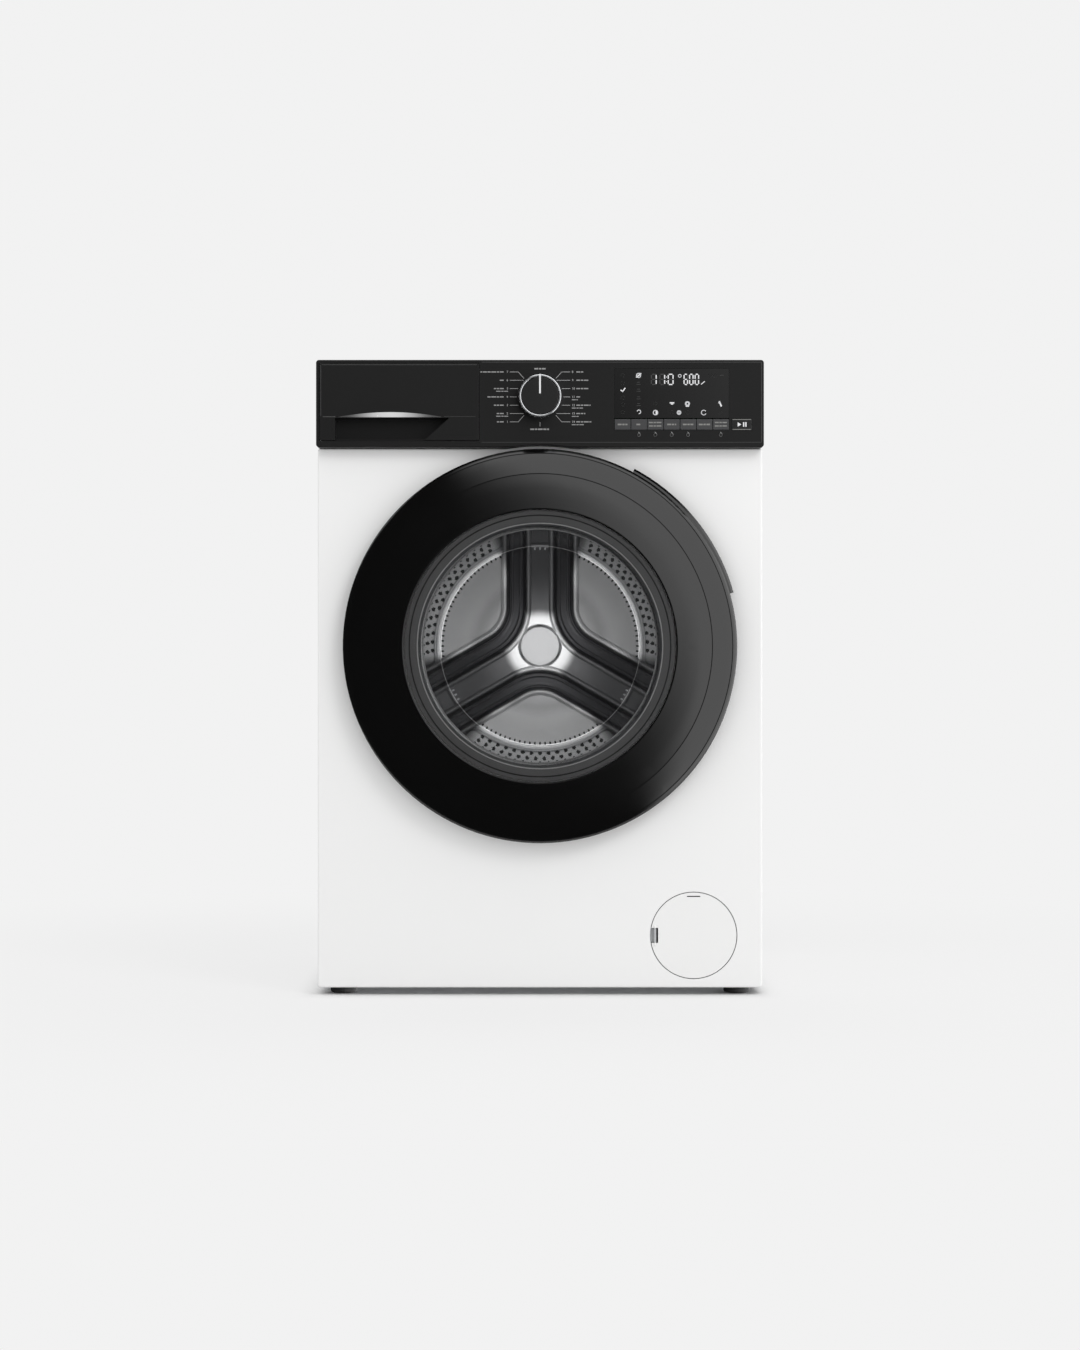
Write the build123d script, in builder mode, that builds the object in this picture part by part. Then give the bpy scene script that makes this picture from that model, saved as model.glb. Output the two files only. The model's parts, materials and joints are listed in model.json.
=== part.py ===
"""A front-loading washing machine, built as its separate pieces.

Millimetres. The origin is on the floor under the middle of the machine, +X is to the right of somebody
facing it, +Y runs from its front to its back and +Z is up.
"""

import os
from math import cos, hypot, radians, sin, sqrt

from build123d import *

os.makedirs("parts", exist_ok=True)

# ---------------------------------------------------------------- driving dimensions
height = 850.0
fascia_width = 598.0
cabinet_width = 596.0
front = -250.0  # outer face of the front panel
rear = 280.0  # outer face of the rear wall
floor_gap = 10.0  # underside of the cabinet above the floor
steel = 1.0
axis_z = 468.0  # height of the drum, tub and door axis

door_radius = 262.9
porthole_radius = 172.0
hinge_x = -250.0
hinge_proud = 22.0
latch_x = 216.0

fascia_bottom = 733.4
fascia_proud = 18.0
fascia_back = -235.6
wall = 3.0
arch_radius = 268.2  # clearance cut over the door in the lower edge of the fascia

drawer_left, drawer_right = -295.4, -81.0
drawer_bottom, drawer_top = 741.6, 846.0
knob_z = 800.5
knob_radius = 28.9
window_left, window_right = 99.3, 252.3
window_bottom, window_top = 772.2, 838.5
key_row_z, key_height = 763.7, 14.2
key_words = ("temperature", "spin", "delay", "prewash", "rinse", "steam", "remote")
key_names = [word + "_key" for word in key_words]
start_key_x, start_key_width = 269.4, 26.0
key_travel = 1.2
keys_bottom = key_row_z - key_height / 2

flap_x, flap_z, flap_radius = 206.0, 80.0, 57.5

foot_x, foot_front_y, foot_rear_y = 265.5, -215.0, 240.0
stud_radius = 5.0

drum_radius, drum_front, drum_back_y = 240.0, -170.0, 150.0
drum_opening = 160.0
tub_inner, tub_outer = 250.0, 254.0
tub_front_y, tub_seam_y, tub_rear_y = -182.0, 0.0, 185.0
shaft_radius = 15.0
lifter_angles = (90, 210, 330)
belt_y, belt_width, belt_thickness = 222.0, 12.0, 3.0
pulley_radius, motor_pulley_radius = 140.0, 11.0
motor_x, motor_z, motor_radius = 100.0, 150.0, 60.0
damper_x, damper_y = 185.0, 20.0
spring_x, spring_y = 235.0, 85.0
rail_bottom = 800.0

valve_x, valve_z = -190.0, 785.0
outlet_x, outlet_z = 274.0, 80.0
gland_x, gland_z = 230.0, 60.0

half = cabinet_width / 2
fascia_front = front - fascia_proud


# ---------------------------------------------------------------- helpers
def upright(y):
    """A plane facing the front of the machine at depth y: its x runs right and its y runs up."""
    return Plane((0, y, 0), x_dir=(1, 0, 0), z_dir=(0, -1, 0))


def lathe_plane(x, z):
    """A level plane through a front-to-back line: its x is the radius and its y is the depth."""
    return Plane((x, 0, z), x_dir=(1, 0, 0), z_dir=(0, 0, 1))


def lathe_axis(x, z):
    return Axis((x, 0, z), (0, 1, 0))


def outline(plane, *points):
    """A straight-sided face through the points, drawn on the plane."""
    with BuildSketch(plane) as drawn:
        with BuildLine():
            Polyline(*points, close=True)
        make_face()
    return drawn.sketch


def disc(y, radius, x=0.0, z=axis_z):
    """A round face at depth y, centred on x, z."""
    with BuildSketch(upright(y)) as drawn:
        with Locations((x, z)):
            Circle(radius)
    return drawn.sketch


def panel_face(y, left, right, bottom, top, corner=0.0):
    """A rectangular face at depth y, with rounded corners where corner is given."""
    with BuildSketch(upright(y)) as drawn:
        with Locations(((left + right) / 2, (bottom + top) / 2)):
            if corner:
                RectangleRounded(right - left, top - bottom, corner)
            else:
                Rectangle(right - left, top - bottom)
    return drawn.sketch


def boxed(left, right, near, far, bottom, top, mode=Mode.ADD):
    """A box between its six faces, in the part that is open."""
    with Locations((left, near, bottom)):
        corner = (Align.MIN, Align.MIN, Align.MIN)
        return Box(right - left, far - near, top - bottom, align=corner, mode=mode)


def ring_face(y, inner, outer, x=0.0, z=axis_z):
    """A flat ring at depth y."""
    with BuildSketch(upright(y)) as drawn:
        with Locations((x, z)):
            Circle(outer)
            Circle(inner, mode=Mode.SUBTRACT)
    return drawn.sketch


def drill(near, far, radius, x=0.0, z=axis_z):
    """Cuts a round hole from front to back through the part that is open."""
    extrude(disc(near, radius, x, z), amount=near - far, mode=Mode.SUBTRACT)


def bar(near, far, radius, x=0.0, z=axis_z):
    """A cylinder lying from front to back, added to the part that is open."""
    extrude(disc(near, radius, x, z), amount=near - far)


def tube(near, far, inner, outer, x=0.0, z=axis_z):
    """A tube lying from front to back, added to the part that is open."""
    extrude(ring_face(near, inner, outer, x, z), amount=near - far)


def turned(points, x=0.0, z=axis_z, mode=Mode.ADD):
    """Turns a section of (radius, depth) points about a front-to-back line."""
    revolve(outline(lathe_plane(x, z), *points), axis=lathe_axis(x, z), mode=mode)


def heading(start, end):
    length = hypot(end[0] - start[0], end[1] - start[1])
    return (end[0] - start[0]) / length, (end[1] - start[1]) / length


def strip(points, thickness):
    """The corners of a thin strip whose middle line runs through the points."""
    headings = [heading(start, end) for start, end in zip(points, points[1:])]
    arriving = [headings[0]] + headings
    leaving = headings + [headings[-1]]
    left = []
    right = []
    for (x, y), came, goes in zip(points, arriving, leaving):
        across = (-(came[1] + goes[1]), came[0] + goes[0])
        reach = thickness / 2 / (came[0] * across[1] - came[1] * across[0])
        left.append((x + across[0] * reach, y + across[1] * reach))
        right.append((x - across[0] * reach, y - across[1] * reach))
    return left + right[::-1]


def hose(points, inner, outer):
    """A hollow hose along a smooth line through the points, added to the part that is open."""
    course = [Vector(*point) for point in points]
    with BuildLine() as run:
        Spline(*course, tangents=(course[1] - course[0], course[-1] - course[-2]))
    start = Plane(origin=run.line @ 0, z_dir=run.line % 0)
    with BuildSketch(start) as outside:
        Circle(outer)
    with BuildSketch(start) as bore:
        Circle(inner)
    sweep(outside.sketch, path=run.line)
    sweep(bore.sketch, path=run.line, mode=Mode.SUBTRACT)


def rod(x, y, bottom, top, radius, mode=Mode.ADD):
    """An upright cylinder."""
    with Locations((x, y, bottom)):
        return Cylinder(radius, top - bottom, align=(Align.CENTER, Align.CENTER, Align.MIN), mode=mode)


def forward(proud):
    """Depth of a point that stands this far in front of the front panel."""
    return front - proud


def save(piece, name):
    piece.part.label = name
    export_step(piece.part, f"parts/{name}.step")


# ---------------------------------------------------------------- cabinet
front_flange = 14.0
front_top = fascia_bottom - 0.5
tongue_half, tongue_top = 60.0, 745.0  # the strip of front panel seen between the fascia and the door
slot_left, slot_right, slot_half = 205.0, 226.0, 9.0

with BuildPart() as front_panel:
    extrude(panel_face(front, -half, half, floor_gap, front_top, corner=4.0), amount=-front_flange)
    fillet(front_panel.faces().sort_by(Axis.Y)[0].edges(), 2.5)
    offset(amount=-steel, openings=front_panel.faces().sort_by(Axis.Y)[-1])
    with BuildSketch(upright(front)):
        with Locations((0, axis_z)):
            Circle(arch_radius - 0.5)
        with Locations((0, (front_top - 6 + tongue_top) / 2)):
            Rectangle(2 * tongue_half, tongue_top - front_top + 6, mode=Mode.INTERSECT)
    extrude(amount=-steel)
    extrude(disc(front, porthole_radius + steel), amount=-front_flange)
    extrude(disc(front, porthole_radius), amount=-front_flange, mode=Mode.SUBTRACT)
    extrude(disc(front, flap_radius + 1.1, flap_x, flap_z), amount=-steel, mode=Mode.SUBTRACT)
    slot_low, slot_high = axis_z - slot_half, axis_z + slot_half
    boxed(slot_left, slot_right, front, front + steel, slot_low, slot_high, Mode.SUBTRACT)
save(front_panel, "front_panel")

wrap_front, wrap_top = -235.0, 822.0
wrap_lip = 15.0
access_half, access_bottom, access_top, access_corner = 200.0, 150.0, 660.0, 30.0

with BuildPart() as cabinet_wrap:
    with BuildSketch(Plane.XY.offset(floor_gap)):
        with Locations((0, (wrap_front + rear) / 2)):
            RectangleRounded(cabinet_width, rear - wrap_front, 6.0)
            inner_width, inner_depth = cabinet_width - 2 * steel, rear - wrap_front - 2 * steel
            RectangleRounded(inner_width, inner_depth, 5.0, mode=Mode.SUBTRACT)
        with Locations((0, wrap_front)):
            Rectangle(cabinet_width - 2 * wrap_lip, 4 * steel, mode=Mode.SUBTRACT)
    extrude(amount=wrap_top - floor_gap)
    extrude(
        panel_face(rear, -access_half, access_half, access_bottom, access_top, access_corner),
        amount=2 * steel,
        mode=Mode.SUBTRACT,
    )
    drill(rear - 2 * steel, rear, 15.0, valve_x, valve_z)
    drill(rear - 2 * steel, rear, 11.5, outlet_x, outlet_z)
    drill(rear - 2 * steel, rear, 8.2, gland_x, gland_z)
save(cabinet_wrap, "cabinet_wrap")

cover_lap, cover_emboss = 12.0, 6.0
screw_head = 4.0
cover_screws = [(x, z) for x in (-206, 0, 206) for z in (144, 666)] + [(-206, 405), (206, 405)]

with BuildPart() as rear_access_cover:
    near, far = rear + 0.3, rear + 0.3 + steel
    extrude(
        panel_face(
            near,
            -access_half - cover_lap,
            access_half + cover_lap,
            access_bottom - cover_lap,
            access_top + cover_lap,
            access_corner + cover_lap,
        ),
        amount=near - far,
    )
    extrude(panel_face(far, -180, 180, 175, 635, 24.0), amount=-cover_emboss, taper=30)
    extrude(panel_face(near, -178, 178, 177, 633, 22.0), amount=-cover_emboss, taper=30, mode=Mode.SUBTRACT)
    for x, z in cover_screws:
        drill(near, far, 1.8, x, z)
save(rear_access_cover, "rear_access_cover")

worktop_bottom = 823.0
with BuildPart() as worktop:
    with BuildSketch(Plane.XY.offset(worktop_bottom)):
        with Locations((0, (wrap_front + rear) / 2)):
            RectangleRounded(cabinet_width, rear - wrap_front, 8.0)
    extrude(amount=height - worktop_bottom)
    fillet(worktop.faces().sort_by(Axis.Z)[-1].edges(), 3.0)
    boxed(-half + 14, half - 14, wrap_front + 14, rear - 14, worktop_bottom, height - 16, Mode.SUBTRACT)
save(worktop, "worktop")

tray_floor, tray_thick, tray_top = 11.0, 1.5, 40.0
tray_side, tray_near, tray_far = 296.2, -233.0, 278.2
foot_places = [(x, y) for y in (foot_front_y, foot_rear_y) for x in (-foot_x, foot_x)]

with BuildPart() as base_tray:
    boxed(-tray_side, tray_side, tray_near, tray_far, tray_floor, tray_top)
    fillet(base_tray.edges().filter_by(Axis.Z), 6.0)
    boxed(
        -tray_side + tray_thick,
        tray_side - tray_thick,
        tray_near + tray_thick,
        tray_far - tray_thick,
        tray_floor + tray_thick,
        tray_top,
        Mode.SUBTRACT,
    )
    for y in (-70, 120):
        boxed(-230, 230, y, y + 30, tray_floor + tray_thick, tray_floor + 8)
        boxed(-228, 228, y + 2, y + 28, tray_floor, tray_floor + 6, Mode.SUBTRACT)
    for x, y in foot_places:
        rod(x, y, tray_floor, tray_floor + tray_thick, stud_radius + 0.3, Mode.SUBTRACT)
    boxed(flap_x - 66, flap_x + 66, tray_near, tray_near + tray_thick, 16.5, tray_top, Mode.SUBTRACT)
save(base_tray, "base_tray")

rail_height, rail_depth = 18.0, 20.0
front_rail_y, front_rail_z = -231.0, 722.0
top_rail_y = 75.0


def rail(near, bottom):
    """A channel that opens downwards, from one side of the cabinet to the other."""
    boxed(-half + 2.5, half - 2.5, near, near + rail_depth, bottom, bottom + rail_height)
    low = bottom + rail_height - 1.5
    boxed(-half + 2.5, half - 2.5, near + 1.5, near + rail_depth - 1.5, bottom, low, Mode.SUBTRACT)


with BuildPart() as cross_rails:
    rail(front_rail_y, front_rail_z)
    rail(top_rail_y, rail_bottom)
    for x in (-spring_x, spring_x):
        boxed(x - 6, x + 6, top_rail_y + 1.5, top_rail_y + rail_depth - 1.5, rail_bottom, rail_bottom + 2)
save(cross_rails, "cross_rails")

pad_radius, pad_height = 17.5, 8.5


def foot(x, y):
    """A levelling foot: a rounded rubber pad moulded on a threaded stud."""
    rod(x, y, 0, pad_height, pad_radius)
    rod(x, y, pad_height, 46, stud_radius)


def make_foot(x, y, name):
    with BuildPart() as levelling_foot:
        foot(x, y)
        fillet(levelling_foot.edges().sort_by(Axis.Z)[0], 4.0)
    save(levelling_foot, name)


make_foot(-foot_x, foot_front_y, "foot_front_left")
make_foot(foot_x, foot_front_y, "foot_front_right")

with BuildPart() as rear_feet:
    for x in (-foot_x, foot_x):
        foot(x, foot_rear_y)
    fillet(rear_feet.edges().filter_by(GeomType.CIRCLE).group_by(Axis.Z)[0], 4.0)
save(rear_feet, "rear_feet")

# ---------------------------------------------------------------- control panel and its parts
fascia_half = fascia_width / 2
key_pitch = (window_right - window_left) / len(key_names)
boss_radius, knob_shaft = 12.0, 6.0

with BuildPart() as control_panel:
    fascia_face = panel_face(fascia_front, -fascia_half, fascia_half, fascia_bottom, height, 4.0)
    extrude(fascia_face, amount=fascia_front - fascia_back)
    drill(fascia_front, fascia_back, arch_radius)
    fillet(control_panel.faces().sort_by(Axis.Y)[0].edges(), 1.2)
    offset(amount=-wall, openings=control_panel.faces().sort_by(Axis.Y)[-1])
    extrude(
        panel_face(fascia_front, drawer_left, drawer_right, drawer_bottom, drawer_top, 2.0),
        amount=fascia_front - fascia_back,
        mode=Mode.SUBTRACT,
    )
    extrude(
        panel_face(fascia_front, window_left, window_right, keys_bottom - 0.3, window_top, 1.0),
        amount=-wall,
        mode=Mode.SUBTRACT,
    )
    boxed(
        start_key_x - start_key_width / 2 - 0.3,
        start_key_x + start_key_width / 2 + 0.3,
        fascia_front,
        fascia_front + wall,
        key_row_z - key_height / 2 - 0.3,
        key_row_z + key_height / 2 + 0.3,
        Mode.SUBTRACT,
    )
    bar(fascia_front + wall, fascia_front + 26, boss_radius, 0, knob_z)
    drill(fascia_front, fascia_front + 26, knob_shaft + 0.06, 0, knob_z)
    drill(fascia_front, fascia_front + 1.2, 23.0, 0, knob_z)
save(control_panel, "control_panel")

with BuildPart() as display_window:
    near = fascia_front + 0.2
    pane = panel_face(near, window_left + 0.2, window_right - 0.2, window_bottom, window_top - 0.2, 0.8)
    extrude(pane, amount=-2.4)
save(display_window, "display_window")


def make_key(x, width, name):
    """A push key: a shallow cap on a stem that reaches back to its switch."""
    with BuildPart() as key:
        face = fascia_front - 0.3
        bottom, top = key_row_z - key_height / 2, key_row_z + key_height / 2
        extrude(panel_face(face, x - width / 2, x + width / 2, bottom, top, 0.8), amount=-5.0)
        fillet(key.faces().sort_by(Axis.Y)[0].edges(), 0.5)
        bar(face + 5, board_near - key_travel - 1.0, 2.5, x, key_row_z)
    save(key, name)


board_near = -233.0
for index, name in enumerate(key_names):
    make_key(window_left + (index + 0.5) * key_pitch, key_pitch - 0.7, name)
make_key(start_key_x, start_key_width - 0.4, "start_key")

with BuildPart() as control_board:
    boxed(-50, 280, board_near, board_near + 1.6, 748, 816)
    boxed(104, 248, -262, -240, 776, 834)
    boxed(110, 242, -240, board_near, 780, 812)
    for x, z in ((-20, 760), (40, 765), (70, 795)):
        boxed(x - 12, x + 12, board_near + 1.6, board_near + 17, z - 8, z + 8)
    for index in range(len(key_names)):
        x = window_left + (index + 0.5) * key_pitch
        boxed(x - 3, x + 3, board_near + 1.6, board_near + 4, key_row_z - 3, key_row_z + 3)
save(control_board, "control_board")

with BuildPart() as selector_knob:
    bar(fascia_front - 20.5, fascia_front - 0.5, knob_radius - 3.8, 0, knob_z)
    bar(fascia_front - 0.5, board_near - 2.0, knob_shaft, 0, knob_z)
    fillet(selector_knob.faces().sort_by(Axis.Y)[0].edges(), 1.0)
save(selector_knob, "selector_knob")

with BuildPart() as selector_ring:
    inner = knob_radius - 3.5
    near, far = fascia_front - 21.5, fascia_front - 0.5
    outer_edge = [(knob_radius - 1, near), (knob_radius, near + 3), (knob_radius, far)]
    turned([(inner, near), *outer_edge, (inner, far)], 0, knob_z)
    fillet(selector_ring.faces().sort_by(Axis.Y)[0].edges(), 0.6)
save(selector_ring, "selector_ring")

# ---------------------------------------------------------------- detergent drawer
housing_left, housing_right, housing_bottom, housing_top = -283.0, -89.0, 747.0, 821.0
housing_near, housing_far = -232.5, 60.0
hose_x, hose_y, dispenser_radius = -150.0, -60.0, 18.0

with BuildPart() as drawer_housing:
    boxed(housing_left, housing_right, housing_near, housing_far, housing_bottom, housing_top)
    boxed(
        housing_left + wall,
        housing_right - wall,
        housing_near,
        housing_far - wall,
        housing_bottom + wall,
        housing_top - wall,
        Mode.SUBTRACT,
    )
    rod(hose_x, hose_y, housing_bottom - 12, housing_bottom + 1, dispenser_radius)
    rod(hose_x, hose_y, housing_bottom - 12, housing_bottom + wall, dispenser_radius - 2, Mode.SUBTRACT)
    bar(housing_far - 1, housing_far + 15, 6.0, valve_x, valve_z)
    drill(housing_far - wall, housing_far + 15, 4.0, valve_x, valve_z)
save(drawer_housing, "drawer_housing")

pocket_left, pocket_right, pocket_low_right = -273.6, -121.0, -155.0
pocket_top, pocket_deep = 772.5, 24.0
plate_top, plate_bottom = drawer_top - 0.5, drawer_bottom + 0.5


def pocket_face(y, grow):
    """The finger pocket seen from the front: its right side leans in towards the bottom."""
    return outline(
        upright(y),
        (pocket_left - grow, plate_bottom),
        (pocket_left - grow, pocket_top + grow),
        (pocket_right + grow, pocket_top + grow),
        (pocket_low_right + grow, plate_bottom),
    )


with BuildPart() as drawer_front:
    near = fascia_front - 0.2
    plate = panel_face(near, drawer_left + 0.5, drawer_right - 0.5, plate_bottom, plate_top, 1.6)
    extrude(plate, amount=-wall)
    fillet(drawer_front.faces().sort_by(Axis.Y)[0].edges(), 0.8)
    extrude(pocket_face(near + wall, 2.0), amount=-pocket_deep)
    extrude(pocket_face(near, 0.0), amount=2.0 - wall - pocket_deep, mode=Mode.SUBTRACT)
    boxed(pocket_left - 2, pocket_right + 2, near + wall, near + 27, plate_bottom, plate_bottom + 2)
save(drawer_front, "drawer_front")

tray_left, tray_right, tray_bottom, tray_upper = -279.0, -93.0, 751.0, 812.0
tray_front, tray_back = -239.5, 40.0
tray_walls = (tray_left, -190.0, -140.0, tray_right)

with BuildPart() as drawer_tray:
    boxed(tray_left, tray_right, tray_front, tray_back, tray_bottom, tray_upper)
    for left, right in zip(tray_walls, tray_walls[1:]):
        boxed(left + 2, right, tray_front + 2, tray_back - 2, tray_bottom + 2, tray_upper, Mode.SUBTRACT)
        boxed(right - 2, right, tray_front + 2, tray_back - 2, tray_bottom + 2, tray_upper - 6)
    boxed(tray_left, tray_right, fascia_front + wall + 0.3, tray_front + 1, pocket_top + 3, tray_upper)
    lip_front, lip_low, lip_high = fascia_front + wall + 0.3, pocket_top + 3, tray_upper - 2
    boxed(tray_left + 2, tray_right - 2, lip_front, tray_front, lip_low, lip_high, Mode.SUBTRACT)
    for x in (-235, -165, -116):
        rod(x, -60, tray_bottom, tray_bottom + 2, 6.0, Mode.SUBTRACT)
save(drawer_tray, "drawer_tray")

trim_left, trim_right, trim_bottom, trim_top = -271.0, -129.0, 773.3, 780.0
with BuildPart() as drawer_grip_trim:
    near = fascia_front - 0.2
    with BuildSketch(upright(near - 1.6)):
        with BuildLine():
            Line((trim_left, trim_bottom), (trim_right, trim_bottom))
            trim_middle = (trim_left + trim_right) / 2
            Spline((trim_right, trim_bottom), (trim_middle, trim_top), (trim_left, trim_bottom))
        make_face()
    extrude(amount=-1.6)
save(drawer_grip_trim, "drawer_grip_trim")

# ---------------------------------------------------------------- door
pocket_half = 38.0  # half height of the gap in the door's edge that clears its hinge
grip_start, grip_sweep, grip_radius = 15.4, 46.5, 268.0


def hinge_gap():
    """Cuts the door away where the fixed half of the hinge passes into it."""
    boxed(-268, -205, forward(16), forward(-1), axis_z - pocket_half, axis_z + pocket_half, Mode.SUBTRACT)


with BuildPart() as door_frame:
    with BuildSketch(lathe_plane(0, axis_z)):
        with BuildLine():
            Polyline((181.0, forward(30)), (181.0, forward(44.6)), (183.0, forward(44.8)))
            Spline(
                (183.0, forward(44.8)),
                (205.0, forward(43.2)),
                (229.0, forward(40.0)),
                (247.0, forward(35.2)),
                (257.0, forward(30.5)),
                (door_radius, forward(24.0)),
            )
            Polyline(
                (door_radius, forward(24.0)),
                (door_radius, forward(16.0)),
                (252.0, forward(4.5)),
                (249.0, forward(4.5)),
                (259.6, forward(17.0)),
                (259.6, forward(22.6)),
                (254.6, forward(28.0)),
                (246.0, forward(32.2)),
                (229.0, forward(36.8)),
                (205.0, forward(40.0)),
                (184.0, forward(41.6)),
                (184.0, forward(30)),
                (181.0, forward(30)),
            )
        make_face()
    revolve(axis=lathe_axis(0, axis_z))
    for radius, proud in ((229.0, 40.0), (256.5, 30.6)):
        with BuildSketch(lathe_plane(0, axis_z)):
            with Locations((radius, forward(proud))):
                Rectangle(1.2, 1.6)
        revolve(axis=lathe_axis(0, axis_z), mode=Mode.SUBTRACT)
    begin = radians(grip_start)
    along, across = (cos(begin), 0, sin(begin)), (-sin(begin), 0, cos(begin))
    grip_plane = Plane((0, 0, axis_z), x_dir=along, z_dir=across)
    grip_lip = outline(
        grip_plane,
        (260.5, forward(25.5)),
        (265.0, forward(23.5)),
        (grip_radius, forward(20.0)),
        (grip_radius, forward(13.0)),
        (266.0, forward(13.0)),
        (262.0, forward(17.0)),
        (260.5, forward(17.0)),
    )
    revolve(grip_lip, axis=Axis((0, 0, axis_z), (0, -1, 0)), revolution_arc=grip_sweep)
    hinge_gap()
save(door_frame, "door_frame")

with BuildPart() as door_back_ring:
    step = [(246.5, forward(5.2)), (186, forward(5.2)), (181, forward(11.6)), (169, forward(11.6))]
    turned(strip(step, 2.4))
    hinge_gap()
    boxed(latch_x - 9, latch_x + 9, forward(8), forward(2), axis_z - 6, axis_z + 6, Mode.SUBTRACT)
    for z in (axis_z + 8, axis_z - 8):
        boxed(latch_x - 5, latch_x + 5, forward(13), forward(5.2), z - 1.6, z + 1.6)
    rod(latch_x, forward(10), axis_z - 11, axis_z + 11, 2.05, Mode.SUBTRACT)
save(door_back_ring, "door_back_ring")

with BuildPart() as door_window:
    bar(forward(44.4), forward(41.4), 180.6)
    fillet(door_window.faces().sort_by(Axis.Y)[0].edges(), 0.8)
save(door_window, "door_window")

bowl_line = [
    (179, 16.2),
    (163, 16.2),
    (157, 9),
    (149, -38),
    (142, -80),
    (137, -88),
    (126, -92),
    (70, -95),
    (0, -95),
]
with BuildPart() as door_bowl:
    turned(strip([(radius, forward(proud)) for radius, proud in bowl_line], 4.5))
save(door_bowl, "door_bowl")

hinge_y = forward(hinge_proud)
barrel_radius, pin_radius = 5.5, 4.0
knuckle_low, knuckle_high = 13.0, 25.0

with BuildPart() as door_hinge_bracket:
    low, high = axis_z - 35, axis_z + 35
    boxed(-245, -190, forward(3), forward(0.2), low, high)
    boxed(-232, -226, forward(25), forward(2), axis_z - 12, axis_z + 12)
    boxed(hinge_x, -227, forward(25), forward(19), axis_z - 12, axis_z + 12)
    rod(hinge_x, hinge_y, axis_z - 12, axis_z + 12, barrel_radius)
    rod(hinge_x, hinge_y, axis_z - 12, axis_z + 12, pin_radius + 0.05, Mode.SUBTRACT)
    for x in (-215, -198):
        for z in (axis_z - 25, axis_z + 25):
            drill(forward(3), forward(0.2), 2.6, x, z)
save(door_hinge_bracket, "door_hinge_bracket")

with BuildPart() as door_hinge_arm:
    boxed(-223, -190, forward(12), forward(9), axis_z - 34, axis_z + 34)
    for low in (axis_z - knuckle_high, axis_z + knuckle_low):
        high = low + knuckle_high - knuckle_low
        boxed(-236, -222, forward(12), forward(9), low, high)
        web = outline(
            Plane.XY.offset(low),
            (-236, forward(9)),
            (-233, forward(12)),
            (-246, forward(25)),
            (-250, forward(25)),
            (-250, forward(20)),
        )
        extrude(web, amount=high - low)
        rod(hinge_x, hinge_y, low, high, barrel_radius)
    rod(hinge_x, hinge_y, axis_z - knuckle_high, axis_z + knuckle_high, pin_radius)
save(door_hinge_arm, "door_hinge_arm")

latch_y = forward(10)
with BuildPart() as latch_hook:
    hook = outline(
        Plane.XY.offset(axis_z - 4),
        (latch_x - 4, latch_y - 4),
        (latch_x + 4, latch_y - 4),
        (latch_x + 3.5, -241),
        (latch_x + 8, -241),
        (latch_x + 3, -234),
        (latch_x - 2, -234),
    )
    extrude(hook, amount=8)
    rod(latch_x, latch_y, axis_z - 9.6, axis_z + 9.6, 2.0)
save(latch_hook, "latch_hook")

with BuildPart() as door_lock:
    boxed(192, 240, front + steel + 0.3, -218, axis_z - 45, axis_z + 45)
    boxed(slot_left, 227, front + steel, -228, axis_z - 8, axis_z + 8, Mode.SUBTRACT)
save(door_lock, "door_lock")

gasket_line = [
    (162, -243),
    (169.8, -246),
    (169.8, -233),
    (181, -228),
    (181, -221.5),
    (158, -216),
    (158, -208),
    (174, -203),
    (169.8, -199),
    (169.8, -188),
]
neck_inner, neck_outer, neck_front = 164.0, 167.5, -200.0
with BuildPart() as door_gasket:
    turned(strip(gasket_line, 3.0))
save(door_gasket, "door_gasket")

# ---------------------------------------------------------------- tub, which hangs on springs
flange_radius = 262.0
well_left, well_right, well_bottom = -95.0, 5.0, 190.0
hub_bore, hub_radius, hub_far = 26.05, 34.0, 212.0
spout_y, spout_radius = -90.0, 20.0
stub_z = axis_z + sqrt(tub_outer**2 - hose_x**2)

with BuildPart() as tub_front:
    bar(tub_front_y, -0.3, tub_outer)
    tube(-8, -0.3, tub_inner, flange_radius)
    tube(neck_front, tub_front_y + 1, neck_inner, neck_outer)
    rod(hose_x, hose_y, stub_z - 25, stub_z + 34, dispenser_radius)
    rod(0, spout_y, 185, 230, spout_radius)
    drill(tub_front_y + 4, -0.3, tub_inner)
    drill(neck_front, tub_front_y + 6, neck_inner)
    rod(hose_x, hose_y, stub_z - 40, stub_z + 34, dispenser_radius - 2.5, Mode.SUBTRACT)
    rod(0, spout_y, 185, 240, spout_radius - 3, Mode.SUBTRACT)
save(tub_front, "tub_front")

with BuildPart() as tub_rear:
    bar(0, tub_rear_y, tub_outer)
    tube(0, 8, tub_inner, flange_radius)
    boxed(well_left, well_right, 8, tub_rear_y, well_bottom, 260)
    for turn in range(12):
        angle = radians(30 * turn + 15)
        with BuildSketch(upright(tub_rear_y)):
            x, z = 142 * cos(angle), axis_z + 142 * sin(angle)
            with Locations(Location((x, z, 0), (0, 0, 30 * turn + 15))):
                Rectangle(220, 6)
        extrude(amount=-14)
    bar(tub_rear_y, hub_far, hub_radius)
    for x in (-spring_x, spring_x):
        boxed(x - 7, x + 7, spring_y - 6, spring_y + 6, 545, 632)
    for x in (-damper_x, damper_x):
        for near in (damper_y - 12.5, damper_y + 6):
            boxed(x - 14, x + 14, near, near + 6.5, 265.5, 320)
    drill(0, tub_rear_y - 5, tub_inner)
    boxed(well_left + 3, well_right - 3, 12, tub_rear_y - 5, well_bottom + 3, 300, Mode.SUBTRACT)
    drill(tub_rear_y - 6, hub_far, hub_bore)
    for x in (-damper_x, damper_x):
        drill(damper_y - 13, damper_y + 13, 4.2, x, 272)
save(tub_rear, "tub_rear")

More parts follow.
